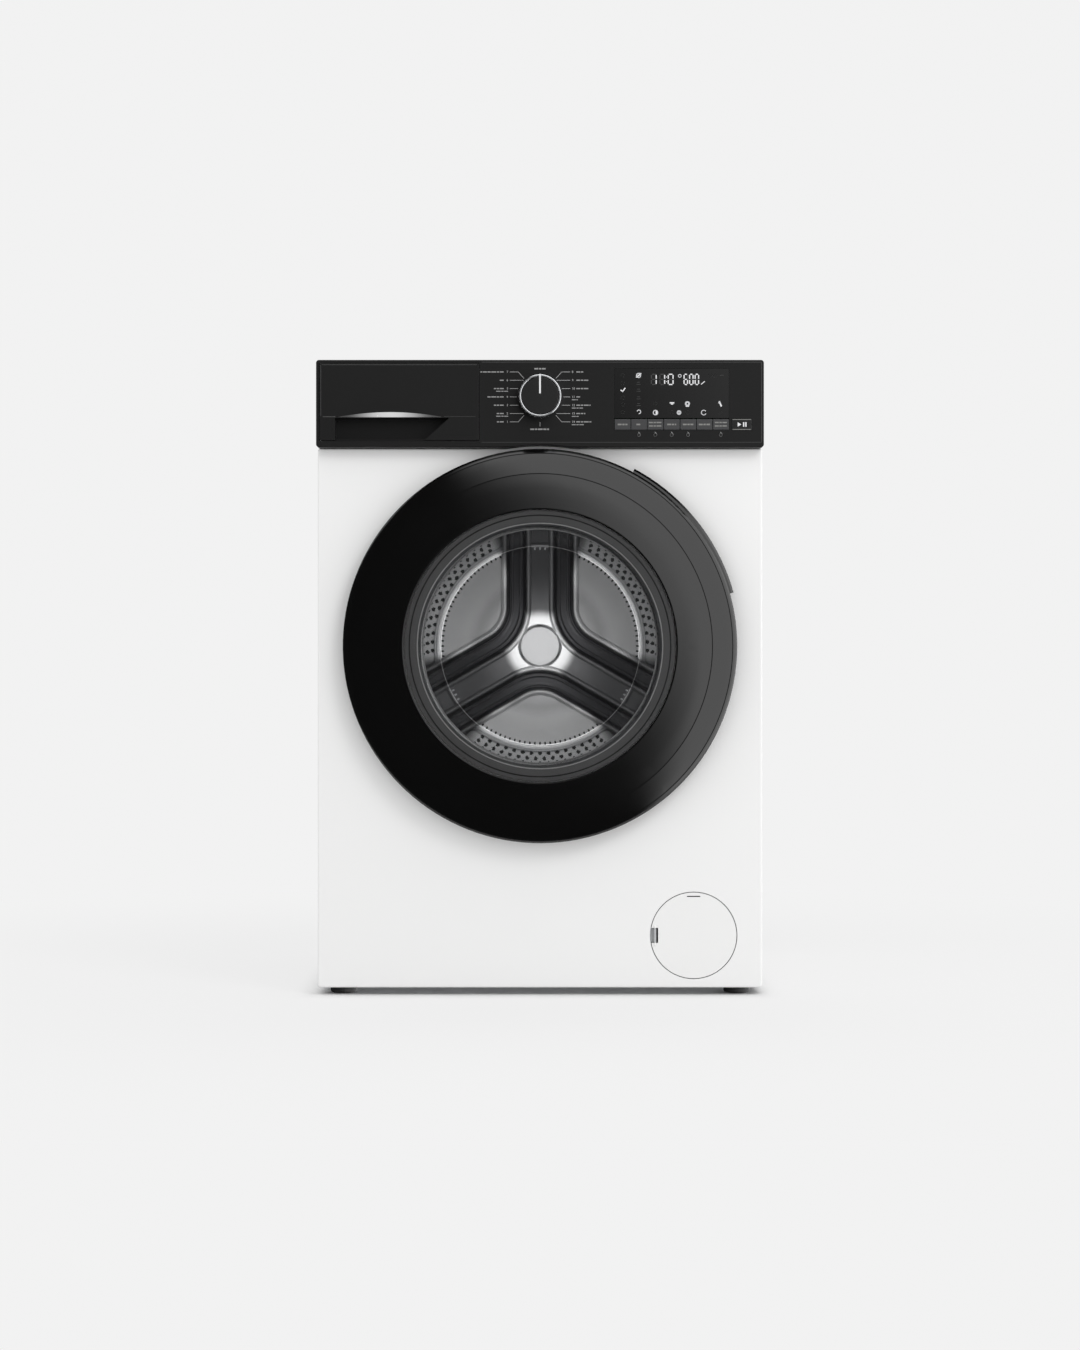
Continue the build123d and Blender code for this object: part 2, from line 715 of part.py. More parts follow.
with BuildPart() as tub_bearings:
    for near in (185.5, 199.5):
        tube(near, near + 12, shaft_radius + 0.05, hub_bore - 0.03)
    tube(179.6, 185.2, shaft_radius + 0.05, hub_bore - 0.03)
save(tub_bearings, "tub_bearings")

ring_near, ring_far = -213.0, tub_front_y - 0.3
with BuildPart() as counterweights:
    tube(ring_near, ring_far, 190, 245)
    boxed(-250, 250, ring_near, ring_far, axis_z - 3, axis_z + 3, Mode.SUBTRACT)
    for angle in (35, 145, 215, 325):
        drill(ring_near, ring_far, 5, 218 * cos(radians(angle)), axis_z + 218 * sin(radians(angle)))
    fillet(counterweights.faces().filter_by(Axis.Y).sort_by(Axis.Y)[0].edges(), 3.0)
    with BuildPart(mode=Mode.PRIVATE) as top_block:
        boxed(-60, 160, -60, 140, 660, 785)
        fillet(top_block.edges().filter_by(Axis.Z), 12.0)
        drill(-60, 140, tub_outer + 0.4)
        drill(-9, 9, flange_radius + 0.4)
    add(top_block.part)
save(counterweights, "counterweights")

coil_low, coil_high, coil_radius, wire = 646.0, 780.0, 13.0, 1.8
with BuildPart() as suspension_springs:
    for x in (-spring_x, spring_x):
        with BuildLine() as winding:
            coil_base, coil_height = (x, spring_y, coil_low), coil_high - coil_low
            Helix(pitch=9.57, height=coil_height, radius=coil_radius, center=coil_base)
        with BuildSketch(Plane(origin=winding.line @ 0, z_dir=winding.line % 0)) as round_wire:
            Circle(wire)
        sweep(round_wire.sketch, path=winding.line)
        for z, low, high in ((coil_low, 632.3, coil_low), (coil_high, coil_high, rail_bottom - 0.3)):
            boxed(x - wire, x + coil_radius + wire, spring_y - wire, spring_y + wire, z - wire, z + wire)
            rod(x, spring_y, low, high, wire)
save(suspension_springs, "suspension_springs")

tube_top = 178.0
with BuildPart() as damper_tubes:
    for x in (-damper_x, damper_x):
        rod(x, damper_y, 36, tube_top, 17)
        boxed(x - 12, x + 12, damper_y - 12, damper_y + 12, tray_floor + tray_thick + 0.2, 37)
        rod(x, damper_y, 50, tube_top, 14.0, Mode.SUBTRACT)
        rod(x, damper_y, tube_top - 6, tube_top - 2, 15)
        rod(x, damper_y, tube_top - 7, tube_top, 7.3, Mode.SUBTRACT)
save(damper_tubes, "damper_tubes")

with BuildPart() as damper_rods:
    for x in (-damper_x, damper_x):
        rod(x, damper_y, 110, 264, 7.0)
        bar(damper_y - 5.5, damper_y + 5.5, 10.0, x, 272)
        bar(damper_y - 15, damper_y + 15, 4.0, x, 272)
save(damper_rods, "damper_rods")

with BuildPart() as drive_belt:
    with BuildSketch(upright(belt_y)):
        with BuildSketch(mode=Mode.PRIVATE) as loop:
            with Locations((0, axis_z)):
                Circle(pulley_radius + 0.3 + belt_thickness)
            with Locations((motor_x, motor_z)):
                Circle(motor_pulley_radius + 0.3 + belt_thickness)
            make_hull()
        with BuildSketch(mode=Mode.PRIVATE) as inside:
            with Locations((0, axis_z)):
                Circle(pulley_radius + 0.3)
            with Locations((motor_x, motor_z)):
                Circle(motor_pulley_radius + 0.3)
            make_hull()
        add(loop.sketch)
        add(inside.sketch, mode=Mode.SUBTRACT)
    extrude(amount=-belt_width)
save(drive_belt, "drive_belt")

motor_near, motor_far = 10.0, 190.0
motor_shaft = 6.0
with BuildPart() as motor:
    bar(motor_near + 14, motor_far - 14, motor_radius, motor_x, motor_z)
    bar(motor_near, motor_far, motor_radius - 10, motor_x, motor_z)
    for near in (50, 140):
        boxed(motor_x - 24, motor_x + 24, near, near + 16, 195, 250)
    bar(motor_far, motor_far + 6, 14, motor_x, motor_z)
    drill(motor_far - 6, motor_far + 6, motor_shaft + 0.06, motor_x, motor_z)
    drill(40, 170, tub_outer + 0.4)
save(motor, "motor")

with BuildPart() as motor_pulley:
    bar(motor_far - 4, belt_y + belt_width + 2, motor_shaft, motor_x, motor_z)
    tube(belt_y - 2, belt_y + belt_width + 2, 5.0, motor_pulley_radius, motor_x, motor_z)
    tube(belt_y - 3.5, belt_y - 1, 5.0, motor_pulley_radius + 4, motor_x, motor_z)
    for turn in range(6):
        angle = radians(60 * turn)
        x, z = motor_x + 8.3 * cos(angle), motor_z + 8.3 * sin(angle)
        drill(belt_y + belt_width, belt_y + belt_width + 2, 1.0, x, z)
save(motor_pulley, "motor_pulley")

# ---------------------------------------------------------------- drum
with BuildPart() as drum_shell:
    turned(
        strip(
            [
                (drum_opening, -158),
                (drum_opening, -169.4),
                (168, -171),
                (drum_radius - 8, -169),
                (drum_radius - 0.6, -162),
                (drum_radius - 0.6, drum_back_y),
            ],
            1.2,
        )
    )
save(drum_shell, "drum_shell")

back_near = drum_back_y - 3.0
with BuildPart() as drum_back:
    bar(back_near, drum_back_y, drum_radius - 1.5)
    for angle in lifter_angles:
        with BuildSketch(upright(back_near)):
            x, z = 116 * cos(radians(angle)), axis_z + 116 * sin(radians(angle))
            with Locations(Location((x, z, 0), (0, 0, angle))):
                SlotOverall(200, 44)
        extrude(amount=7, taper=35)
    bar(back_near - 10, back_near, 30)
    fillet(drum_back.faces().sort_by(Axis.Y)[0].edges(), 4.0)
save(drum_back, "drum_back")

lifter_near, lifter_far = -140.0, 136.0
with BuildPart() as drum_lifters:
    for angle in lifter_angles:
        across = Vector(-sin(radians(angle)), cos(radians(angle)), 0)
        away = Vector(cos(radians(angle)), sin(radians(angle)), 0)
        corners = []
        for side, reach in ((-30, 240), (-24, 205), (-9, 180), (9, 180), (24, 205), (30, 240)):
            point = away * reach + across * side
            corners.append((point.X, axis_z + point.Y))
        extrude(outline(upright(lifter_near), *corners), amount=lifter_near - lifter_far)
    with BuildPart(mode=Mode.PRIVATE) as inside_shell:
        bar(lifter_near, lifter_far, drum_radius - 1.5)
    add(inside_shell.part, mode=Mode.INTERSECT)
save(drum_lifters, "drum_lifters")

with BuildPart() as drum_spider:
    for angle in lifter_angles:
        with BuildSketch(upright(drum_back_y + 0.2)):
            x, z = 112 * cos(radians(angle)), axis_z + 112 * sin(radians(angle))
            with Locations(Location((x, z, 0), (0, 0, angle))):
                Rectangle(224, 30)
        extrude(amount=-14)
    bar(drum_back_y + 0.2, 176, 36)
    bar(170, belt_y + belt_width + 4, shaft_radius)
save(drum_spider, "drum_spider")

with BuildPart() as drum_pulley:
    tube(belt_y - 2, belt_y + belt_width + 2, 126, pulley_radius)
    tube(belt_y - 2, belt_y + belt_width + 2, shaft_radius + 0.05, 28)
    for turn in range(6):
        angle = radians(60 * turn)
        with BuildSketch(upright(belt_y + 2)):
            with Locations(Location((77 * cos(angle), axis_z + 77 * sin(angle), 0), (0, 0, 60 * turn))):
                Rectangle(104, 16)
        extrude(amount=-7)
save(drum_pulley, "drum_pulley")

# ---------------------------------------------------------------- water and power
filter_near, filter_far, filter_bore = -240.0, -158.0, 28.06
surround_inner = 60.0
flap_hinge_x, flap_hinge_y = flap_x - 51.8, front
flap_pin, flap_barrel = 1.0, 1.7
flap_block_half = 9.4
pump_stub_x = flap_x + 40.0

with BuildPart() as drain_pump:
    tube(-248.6, -246.6, surround_inner - 1, surround_inner + 5, flap_x, flap_z)
    tube(-248.6, -222, surround_inner, surround_inner + 2, flap_x, flap_z)
    tube(-224, -222, 30, surround_inner + 2, flap_x, flap_z)
    bar(filter_near + 12, filter_far, filter_bore + 4, flap_x, flap_z)
    bar(filter_far, -148, 36, flap_x, flap_z)
    bar(-148, -80, 26, flap_x, flap_z)
    with Locations((flap_x - 44, -190, flap_z)):
        Cylinder(15, 40, rotation=(0, 90, 0))
    boxed(flap_x, flap_x + 50, filter_far, -148, flap_z - 10, flap_z + 10)
    bar(-150, -125, 9, pump_stub_x, flap_z)
    drill(filter_near, filter_far - 3, filter_bore, flap_x, flap_z)
    block_low, block_high = flap_z - flap_block_half, flap_z + flap_block_half
    rod(flap_hinge_x, flap_hinge_y, block_low, block_high, flap_barrel)
    boxed(flap_hinge_x - 1.5, flap_hinge_x + 1.5, flap_hinge_y, -243.7, block_low, block_high)
    boxed(flap_x - surround_inner - 1, flap_hinge_x + 1.5, -246.0, -243.7, block_low, block_high)
    rod(flap_hinge_x, flap_hinge_y, block_low, block_high, flap_pin + 0.06, Mode.SUBTRACT)
    boxed(flap_x - 30, flap_x + 30, -150, -100, tray_floor + tray_thick + 0.2, flap_z - 20)
    drill(-128, -90, 23.5, flap_x, flap_z)
    bar(-128, -88, 22, flap_x, flap_z)
save(drain_pump, "drain_pump")

with BuildPart() as filter_flap:
    bar(front, front + 2.4, flap_radius, flap_x, flap_z)
    boxed(flap_x - 60, flap_hinge_x + 4.2, front - 1, front + 3, flap_z - 10, flap_z + 10, Mode.SUBTRACT)
    boxed(flap_x - 9, flap_x + 9, front, front + 1.2, flap_z + 51.5, flap_z + 53, Mode.SUBTRACT)
    for low in (flap_z - 13.6, flap_z + 10.4):
        rod(flap_hinge_x, flap_hinge_y, low, low + 3.2, flap_barrel)
    rod(flap_hinge_x, flap_hinge_y, flap_z - 13.6, flap_z + 13.6, flap_pin)
save(filter_flap, "filter_flap")

with BuildPart() as filter_cap:
    bar(-232, filter_far - 6, 28.0, flap_x, flap_z)
    drill(-220, filter_far - 6, 25.0, flap_x, flap_z)
    bar(-236, -232, 29.0, flap_x, flap_z)
    boxed(flap_x - 26, flap_x + 26, -244.5, -236, flap_z - 4, flap_z + 4)
    for turn in range(4):
        angle = 45 + 90 * turn
        x, z = flap_x + 26.5 * cos(radians(angle)), flap_z + 26.5 * sin(radians(angle))
        boxed(x - 7, x + 7, -210, filter_far - 12, z - 7, z + 7, Mode.SUBTRACT)
save(filter_cap, "filter_cap")

with BuildPart() as drain_outlet:
    bar(rear + 0.3, rear + 3, 16, outlet_x, outlet_z)
    bar(rear - 22, rear + 15, 9.5, outlet_x, outlet_z)
    drill(rear - 22, rear + 15, 7, outlet_x, outlet_z)
save(drain_outlet, "drain_outlet")

spigot_radius = 13.2
with BuildPart() as inlet_valve:
    boxed(valve_x - 20, valve_x + 20, 235, rear - steel - 0.3, valve_z - 18, valve_z + 20)
    bar(rear - steel - 0.3, rear + 15, spigot_radius, valve_x, valve_z)
    drill(rear - 6, rear + 15, 8, valve_x, valve_z)
    bar(220, 235, 6, valve_x, valve_z)
    drill(220, 240, 4, valve_x, valve_z)
    boxed(valve_x - 13, valve_x + 13, 240, 268, valve_z - 40, valve_z - 18)
save(inlet_valve, "inlet_valve")

with BuildPart() as mains_gland:
    bar(rear - 20, rear + 13, 8.0, gland_x, gland_z)
    bar(rear + 0.3, rear + 4, 13, gland_x, gland_z)
    drill(rear - 20, rear + 13, 4.5, gland_x, gland_z)
save(mains_gland, "mains_gland")

with BuildPart() as fill_hose:
    hose([(valve_x, housing_far + 3, valve_z), (valve_x, 150, valve_z), (valve_x, 232, valve_z)], 6.4, 9)
save(fill_hose, "fill_hose")

with BuildPart() as dispenser_hose:
    low, high = stub_z + 18, housing_bottom - 1
    rod(hose_x, hose_y, low, high, dispenser_radius + 3.5)
    for turn in range(4):
        rod(hose_x, hose_y, low + 14 + 8 * turn, low + 18 + 8 * turn, dispenser_radius + 6)
    rod(hose_x, hose_y, low, high, dispenser_radius + 0.4, Mode.SUBTRACT)
save(dispenser_hose, "dispenser_hose")

with BuildPart() as drain_hoses:
    hose(
        [
            (0, spout_y, 200),
            (0, spout_y, 175),
            (55, -150, 100),
            (flap_x - 75, -190, flap_z),
            (flap_x - 50, -190, flap_z),
        ],
        20.3,
        23,
    )
    hose(
        [
            (pump_stub_x, -140, outlet_z),
            (pump_stub_x, -110, outlet_z),
            (outlet_x, 0, outlet_z),
            (outlet_x, 120, outlet_z),
            (outlet_x, rear - 18, outlet_z),
        ],
        9.8,
        12.5,
    )
save(drain_hoses, "drain_hoses")

# ---------------------------------------------------------------- small fixings
with BuildPart() as cabinet_fasteners:
    for x, z in cover_screws:
        near = rear + 0.3 + steel + 0.1
        bar(near, near + 2.4, screw_head, x, z)
        with BuildSketch(upright(near + 2.4)):
            with Locations((x, z)):
                Rectangle(5, 1)
                Rectangle(1, 5)
        extrude(amount=1.2, mode=Mode.SUBTRACT)
    for x in (-200, 200):
        bar(rear + 0.3, rear + 3, screw_head, x, 836)
    for x, z in ((-250, 250), (250, 250), (-250, 700), (250, 700)):
        bar(rear + 0.3, rear + 3.5, 14, x, z)
    for x, y in foot_places:
        with BuildSketch(Plane.XY.offset(tray_floor + tray_thick + 0.1)):
            with Locations((x, y)):
                RegularPolygon(9.8, 6)
                Circle(stud_radius + 0.06, mode=Mode.SUBTRACT)
        extrude(amount=8)
save(cabinet_fasteners, "cabinet_fasteners")
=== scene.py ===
# %% [markdown]
# # A front-loading washing machine
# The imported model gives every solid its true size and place. This lesson adds what a camera needs: finishes
# for each material, the parts that thin sheet and glass are too fine for in the solid model, the printed
# marks, a studio and a camera. Everything is in metres, +X is to the right of somebody facing the door, +Y
# runs to the back and +Z is up.

# %% Load the fixed frame
import json
from math import atan2, ceil, cos, hypot, pi, radians, sin

import bmesh
import bpy
from mathutils import Matrix, Vector, noise


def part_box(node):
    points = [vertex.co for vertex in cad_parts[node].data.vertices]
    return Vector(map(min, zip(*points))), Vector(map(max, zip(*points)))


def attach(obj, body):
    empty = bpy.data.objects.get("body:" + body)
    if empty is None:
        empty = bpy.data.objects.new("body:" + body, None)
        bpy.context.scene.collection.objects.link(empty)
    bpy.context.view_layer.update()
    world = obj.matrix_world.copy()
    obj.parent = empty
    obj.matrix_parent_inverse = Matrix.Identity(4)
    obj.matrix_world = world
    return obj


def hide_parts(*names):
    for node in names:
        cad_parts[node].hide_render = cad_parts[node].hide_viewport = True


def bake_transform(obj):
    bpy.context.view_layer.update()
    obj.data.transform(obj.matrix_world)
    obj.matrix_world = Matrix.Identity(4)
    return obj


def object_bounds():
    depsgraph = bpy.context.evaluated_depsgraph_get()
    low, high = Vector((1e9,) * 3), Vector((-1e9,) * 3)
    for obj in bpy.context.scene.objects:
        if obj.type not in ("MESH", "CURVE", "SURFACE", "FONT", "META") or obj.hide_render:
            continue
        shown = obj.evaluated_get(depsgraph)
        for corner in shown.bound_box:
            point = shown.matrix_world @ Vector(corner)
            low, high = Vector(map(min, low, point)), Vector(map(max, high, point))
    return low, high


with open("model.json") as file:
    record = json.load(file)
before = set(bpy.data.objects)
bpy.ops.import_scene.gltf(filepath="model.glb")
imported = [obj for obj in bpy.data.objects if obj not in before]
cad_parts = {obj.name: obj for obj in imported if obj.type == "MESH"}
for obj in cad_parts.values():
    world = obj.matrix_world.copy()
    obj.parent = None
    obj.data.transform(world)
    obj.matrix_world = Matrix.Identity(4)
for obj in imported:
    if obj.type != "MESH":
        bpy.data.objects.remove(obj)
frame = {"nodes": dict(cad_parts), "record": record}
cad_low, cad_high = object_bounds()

scene = bpy.context.scene
nodes = frame["nodes"]

# %% [markdown]
# Where things are comes from the solids themselves. The door's window gives the axis that the drum, tub and
# door share, and the fascia's front face is where the printed marks go.

# %% Places read from the solids
mm = 0.001
window_low, window_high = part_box("door_window")
axis_z = (window_low.z + window_high.z) / 2
fascia_low, fascia_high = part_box("control_panel")
fascia_y = fascia_low.y
panel_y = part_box("front_panel")[0].y
knob_low, knob_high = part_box("selector_ring")
knob_z = (knob_low.z + knob_high.z) / 2
print("door axis height", round(axis_z, 4), "knob height", round(knob_z, 4))
print("fascia front", round(fascia_y, 4))

# %% [markdown]
# The camera comes first. A long lens four metres away keeps the sides of the cabinet out of sight, and it
# stands level with the middle of the door. The small shift lifts the machine a little in the picture.

# %% Camera
view_distance = 4.0
shown_height = 1.8101  # metres at the front panel that fill the height of the frame
frame_lift = -0.02148  # share of that height by which the machine is lifted
lens_data = bpy.data.cameras.new("studio_camera")
lens_data.lens = view_distance * lens_data.sensor_width / shown_height
lens_data.shift_y = frame_lift
studio_camera = bpy.data.objects.new("studio_camera", lens_data)
scene.collection.objects.link(studio_camera)
studio_camera.location = (0, panel_y - view_distance, axis_z)
studio_camera.rotation_euler = (radians(90), 0, 0)
scene.camera = studio_camera
print("lens", round(lens_data.lens, 1), "mm")

# %% [markdown]
# A finish is a small graph of shader nodes. Writing such a graph as sums is easier to read than a page of
# links, so one class wraps a socket and turns Python's operators into Math nodes. Every other node comes
# from one method that takes its type, its settings and what its sockets are fed.


# %% A socket that does arithmetic
class Value:
    """A number that varies over a surface."""

    def __init__(self, finish, socket):
        self.finish = finish
        self.socket = socket

    def math(self, operation, first, second):
        made = self.finish.node("Math", {"operation": operation}, {0: first, 1: second})
        return Value(self.finish, made.outputs[0])

    def __add__(self, other):
        return self.math("ADD", self, other)

    def __radd__(self, other):
        return self.math("ADD", other, self)

    def __sub__(self, other):
        return self.math("SUBTRACT", self, other)

    def __rsub__(self, other):
        return self.math("SUBTRACT", other, self)

    def __mul__(self, other):
        return self.math("MULTIPLY", self, other)

    def __rmul__(self, other):
        return self.math("MULTIPLY", other, self)

    def __pow__(self, other):
        return self.math("POWER", self, other)


# %% A finish and its nodes
class Finish:
    """One material, built node by node around a Principled shader."""

    def __init__(self, name, tree=None):
        if tree is None:
            self.material = bpy.data.materials.new(name)
            self.material.use_nodes = True
            tree = self.material.node_tree
        self.tree = tree
        self.tree.nodes.clear()
        self.place = None

    def node(self, kind, settings=None, inputs=None):
        made = self.tree.nodes.new("ShaderNode" + kind)
        for name, value in (settings or {}).items():
            if name == "stops":
                self.set_stops(made.color_ramp, value)
            else:
                setattr(made, name, value)
        for name, value in (inputs or {}).items():
            self.feed(made.inputs[name], value)
        return made

    def set_stops(self, ramp, stops):
        while len(ramp.elements) < len(stops):
            ramp.elements.new(0.5)
        for element, (position, colour) in zip(ramp.elements, stops):
            element.position = position
            element.color = (*colour, 1)

    def feed(self, socket, value):
        if isinstance(value, Value):
            self.tree.links.new(value.socket, socket)
        elif isinstance(value, bpy.types.NodeSocket):
            self.tree.links.new(value, socket)
        elif isinstance(value, tuple) and len(value) == 3 and socket.type == "RGBA":
            socket.default_value = (*value, 1)
        else:
            socket.default_value = value

    def where(self, stretch=(1, 1, 1)):
        """The point on the object, in metres, stretched along the axes."""
        if self.place is None:
            self.place = self.node("TexCoord").outputs["Object"]
        scaled = self.node("VectorMath", {"operation": "MULTIPLY"}, {0: self.place, 1: stretch})
        return scaled.outputs[0]

    def grain(self, size, detail=2.0, stretch=(1, 1, 1)):
        """Cloudy variation between 0 and 1, whose blotches are about size metres across."""
        made = self.node("TexNoise", {}, {"Vector": self.where(stretch), "Scale": 1 / size, "Detail": detail})
        return Value(self, made.outputs[0])

    def tint(self, mask, low, high):
        """A colour that goes from low to high as the mask goes from 0 to 1."""
        made = self.node("Mix", {"data_type": "RGBA"}, {"Factor": mask, 6: low, 7: high})
        return made.outputs[2]

    def fade(self, value, low, high, at_low=0.0, at_high=1.0):
        """A smooth change from at_low to at_high while the value goes from low to high."""
        limits = {0: value, 1: low, 2: high, 3: at_low, 4: at_high}
        made = self.node("MapRange", {"interpolation_type": "SMOOTHSTEP"}, limits)
        return Value(self, made.outputs[0])

    def relief(self, height, depth):
        """Bends the surface as if the height from 0 to 1 stood depth metres proud."""
        return self.node("Bump", {}, {"Height": height, "Distance": depth, "Strength": 1.0}).outputs[0]

    def shader(self, **sockets):
        named = {}
        for name, value in sockets.items():
            named[name.replace("_", " ").title().replace("Ior", "IOR")] = value
        made = self.node("BsdfPrincipled", {}, named)
        self.show(made.outputs[0])
        return made

    def show(self, surface):
        output = self.node("OutputMaterial")
        self.tree.links.new(surface, output.inputs["Surface"])


# %% [markdown]
# Baked enamel on steel is a glossy white paint with a very fine orange peel. A coat of lacquer isn't needed:
# the paint itself is smooth. Its roughness wanders a little, and a shallow relief gives the peel.

# %% White enamel and white laminate
enamel = Finish("white_enamel")
peel = enamel.grain(0.0022, 1.0)
enamel.shader(
    base_color=enamel.tint(enamel.grain(0.35), (0.885, 0.885, 0.882), (0.905, 0.905, 0.902)),
    roughness=0.26 + enamel.grain(0.05) * 0.1,
    normal=enamel.relief(peel, 0.000012),
)
laminate = Finish("worktop_laminate")
laminate.shader(
    base_color=laminate.tint(laminate.grain(0.2), (0.73, 0.73, 0.725), (0.76, 0.76, 0.755)),
    roughness=0.42 + laminate.grain(0.01) * 0.1,
    normal=laminate.relief(laminate.grain(0.0008, 2.0), 0.00001),
)
print("enamel nodes", len(enamel.tree.nodes))

# %% [markdown]
# Zinc-coated sheet shows large flat crystals. Voronoi cells, each with its own grey, look the same, and the
# roughness follows the same cells so that they catch the light in turn.

# %% Zinc-coated and spring steel
zinc = Finish("zinc_sheet")
cells = zinc.node("TexVoronoi", {}, {"Vector": zinc.where(), "Scale": 90.0}).outputs["Color"]
crystal = Value(zinc, zinc.node("RGBToBW", {}, {"Color": cells}).outputs[0])
zinc.shader(
    base_color=zinc.tint(crystal, (0.32, 0.33, 0.34), (0.47, 0.48, 0.49)),
    metallic=1.0,
    roughness=0.34 + crystal * 0.16,
)
oiled = Finish("spring_steel")
oiled.shader(
    base_color=oiled.tint(oiled.grain(0.006), (0.26, 0.27, 0.29), (0.36, 0.37, 0.39)),
    metallic=1.0,
    roughness=0.28 + oiled.grain(0.003) * 0.2,
)

# %% [markdown]
# The mouldings are of three blacks. The fascia has a fine spark-eroded grain that breaks up reflections, the
# door is polished and the display is glossier still. A light haze in the roughness keeps polish from
# looking like a mirror.


# %% Mouldings
def moulding(name, dark, light, shine, spread, grain_size, depth, specular=0.5):
    """A moulded plastic between two close shades, with a grain of that size and depth."""
    made = Finish(name)
    made.shader(
        base_color=made.tint(made.grain(0.12), dark, light),
        roughness=shine + made.grain(0.04) * spread,
        normal=made.relief(made.grain(grain_size, 2.0), depth),
        specular_ior_level=specular,
    )
    return made


fascia_black = moulding("fascia_black", (0.0055,) * 3, (0.0070,) * 3, 0.40, 0.08, 0.0006, 0.000018, 0.2)
door_black = moulding("door_black", (0.0015,) * 3, (0.0022,) * 3, 0.10, 0.05, 0.03, 0.000010)
display_black = moulding("display_black", (0.0012,) * 3, (0.0018,) * 3, 0.10, 0.04, 0.02, 0.000004)
knob_black = moulding("knob_black", (0.0020,) * 3, (0.0030,) * 3, 0.22, 0.06, 0.0012, 0.000006)
key_grey = moulding("key_grey", (0.030, 0.030, 0.032), (0.038, 0.038, 0.040), 0.34, 0.08, 0.0007, 0.00001)
white_low, white_high = (0.86, 0.86, 0.855), (0.89, 0.89, 0.885)
white_plastic = moulding("white_plastic", white_low, white_high, 0.36, 0.1, 0.001, 0.000015)
# The tub's plastic is nearly black: painted shade for the inside of the closed cabinet, seen through the
# drum's holes.
tub_low, tub_high = (0.040, 0.040, 0.042), (0.055, 0.055, 0.057)
tub_painted_shade_plastic = moulding("tub_painted_shade_plastic", tub_low, tub_high, 0.5, 0.12, 0.0012, 0.00002)
grey_plastic = moulding("grey_plastic", (0.42, 0.43, 0.44), (0.49, 0.50, 0.51), 0.42, 0.12, 0.0012, 0.00002)
grey_rubber = moulding("grey_rubber", (0.16, 0.165, 0.17), (0.21, 0.215, 0.22), 0.50, 0.16, 0.0009, 0.00002)
black_rubber = moulding("black_rubber", (0.016,) * 3, (0.026,) * 3, 0.56, 0.16, 0.0011, 0.00003)
circuit_green = moulding("circuit_green", (0.02, 0.09, 0.04), (0.03, 0.12, 0.06), 0.32, 0.1, 0.002, 0.00002)
concrete = moulding("cast_concrete", (0.30, 0.29, 0.28), (0.42, 0.41, 0.39), 0.80, 0.12, 0.006, 0.0005)
print("mouldings ready")

# %% [markdown]
# Metals reflect, so their colour is their reflection. Chrome plate is nearly white and smooth, die-cast
# alloy is duller, and the drum's stainless sheet is finished with fine scratches that run round the drum:
# noise stretched far along one axis makes them.

# %% Metals
chrome = Finish("bright_chrome")
chrome.shader(base_color=(0.80, 0.81, 0.83), metallic=1.0, roughness=0.10 + chrome.grain(0.01) * 0.08)
cast_alloy = Finish("cast_alloy")
cast_alloy.shader(
    base_color=cast_alloy.tint(cast_alloy.grain(0.01), (0.42, 0.43, 0.44), (0.52, 0.53, 0.54)),
    metallic=1.0,
    roughness=0.42 + cast_alloy.grain(0.004) * 0.15,
    normal=cast_alloy.relief(cast_alloy.grain(0.0015), 0.00006),
)
stainless = Finish("drum_stainless")
scratches = stainless.grain(0.0006, 2.0, (1, 0.02, 1))
stainless.shader(
    base_color=stainless.tint(scratches, (0.50, 0.505, 0.51), (0.62, 0.625, 0.63)),
    metallic=1.0,
    roughness=0.22 + scratches * 0.14,
)

# %% [markdown]
# Glass that things are seen through is clearest where it faces the viewer and shows more of itself edge on.
# Layer Weight gives that angle, and it drives how much of the pane is see-through. The shader stays thin,
# without refraction, so light still reaches the drum.


# %% Glass
def clear_glass(name, colour, faint, strong, bend):
    """Glass that hides faint of what is behind it face on, and strong of it edge on."""
    made = Finish(name)
    edge = Value(made, made.node("LayerWeight", {}, {"Blend": bend}).outputs["Facing"])
    made.shader(
        base_color=colour,
        roughness=0.04 + made.grain(0.05) * 0.03,
        alpha=faint + edge * (strong - faint),
    )
    return made


pane_glass = clear_glass("smoked_pane", (0.012, 0.012, 0.013), 0.16, 0.80, 0.4)
bowl_glass = clear_glass("pressed_glass", (0.10, 0.105, 0.11), 0.02, 0.05, 0.42)

# %% Every solid takes the finish of its material slot
slot_finish = {
    "white_enamel": enamel,
    "zinc_steel": zinc,
    "worktop_white": laminate,
    "black_fascia": fascia_black,
    "display_black": display_black,
    "key_grey": key_grey,
    "trim_chrome": chrome,
    "door_black": door_black,
    "door_glass": bowl_glass,
    "tinted_glass": pane_glass,
    "grey_rubber": grey_rubber,
    "black_rubber": black_rubber,
    "stainless": stainless,
    "grey_plastic": grey_plastic,
    "white_plastic": white_plastic,
    "concrete": concrete,
    "cast_alloy": cast_alloy,
    "circuit_green": circuit_green,
    "spring_steel": oiled,
}
for entry in frame["record"]["subparts"]:
    solid = nodes[entry["node"]]
    solid.data.materials.clear()
    solid.data.materials.append(slot_finish[entry["material_slot"]].material)
nodes["selector_knob"].data.materials[0] = knob_black.material
# The tub halves take this painted shade plastic in place of their slot's finish.
for tub_half in ("tub_front", "tub_rear"):
    nodes[tub_half].data.materials[0] = tub_painted_shade_plastic.material
grip_low, grip_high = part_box("drawer_grip_trim")
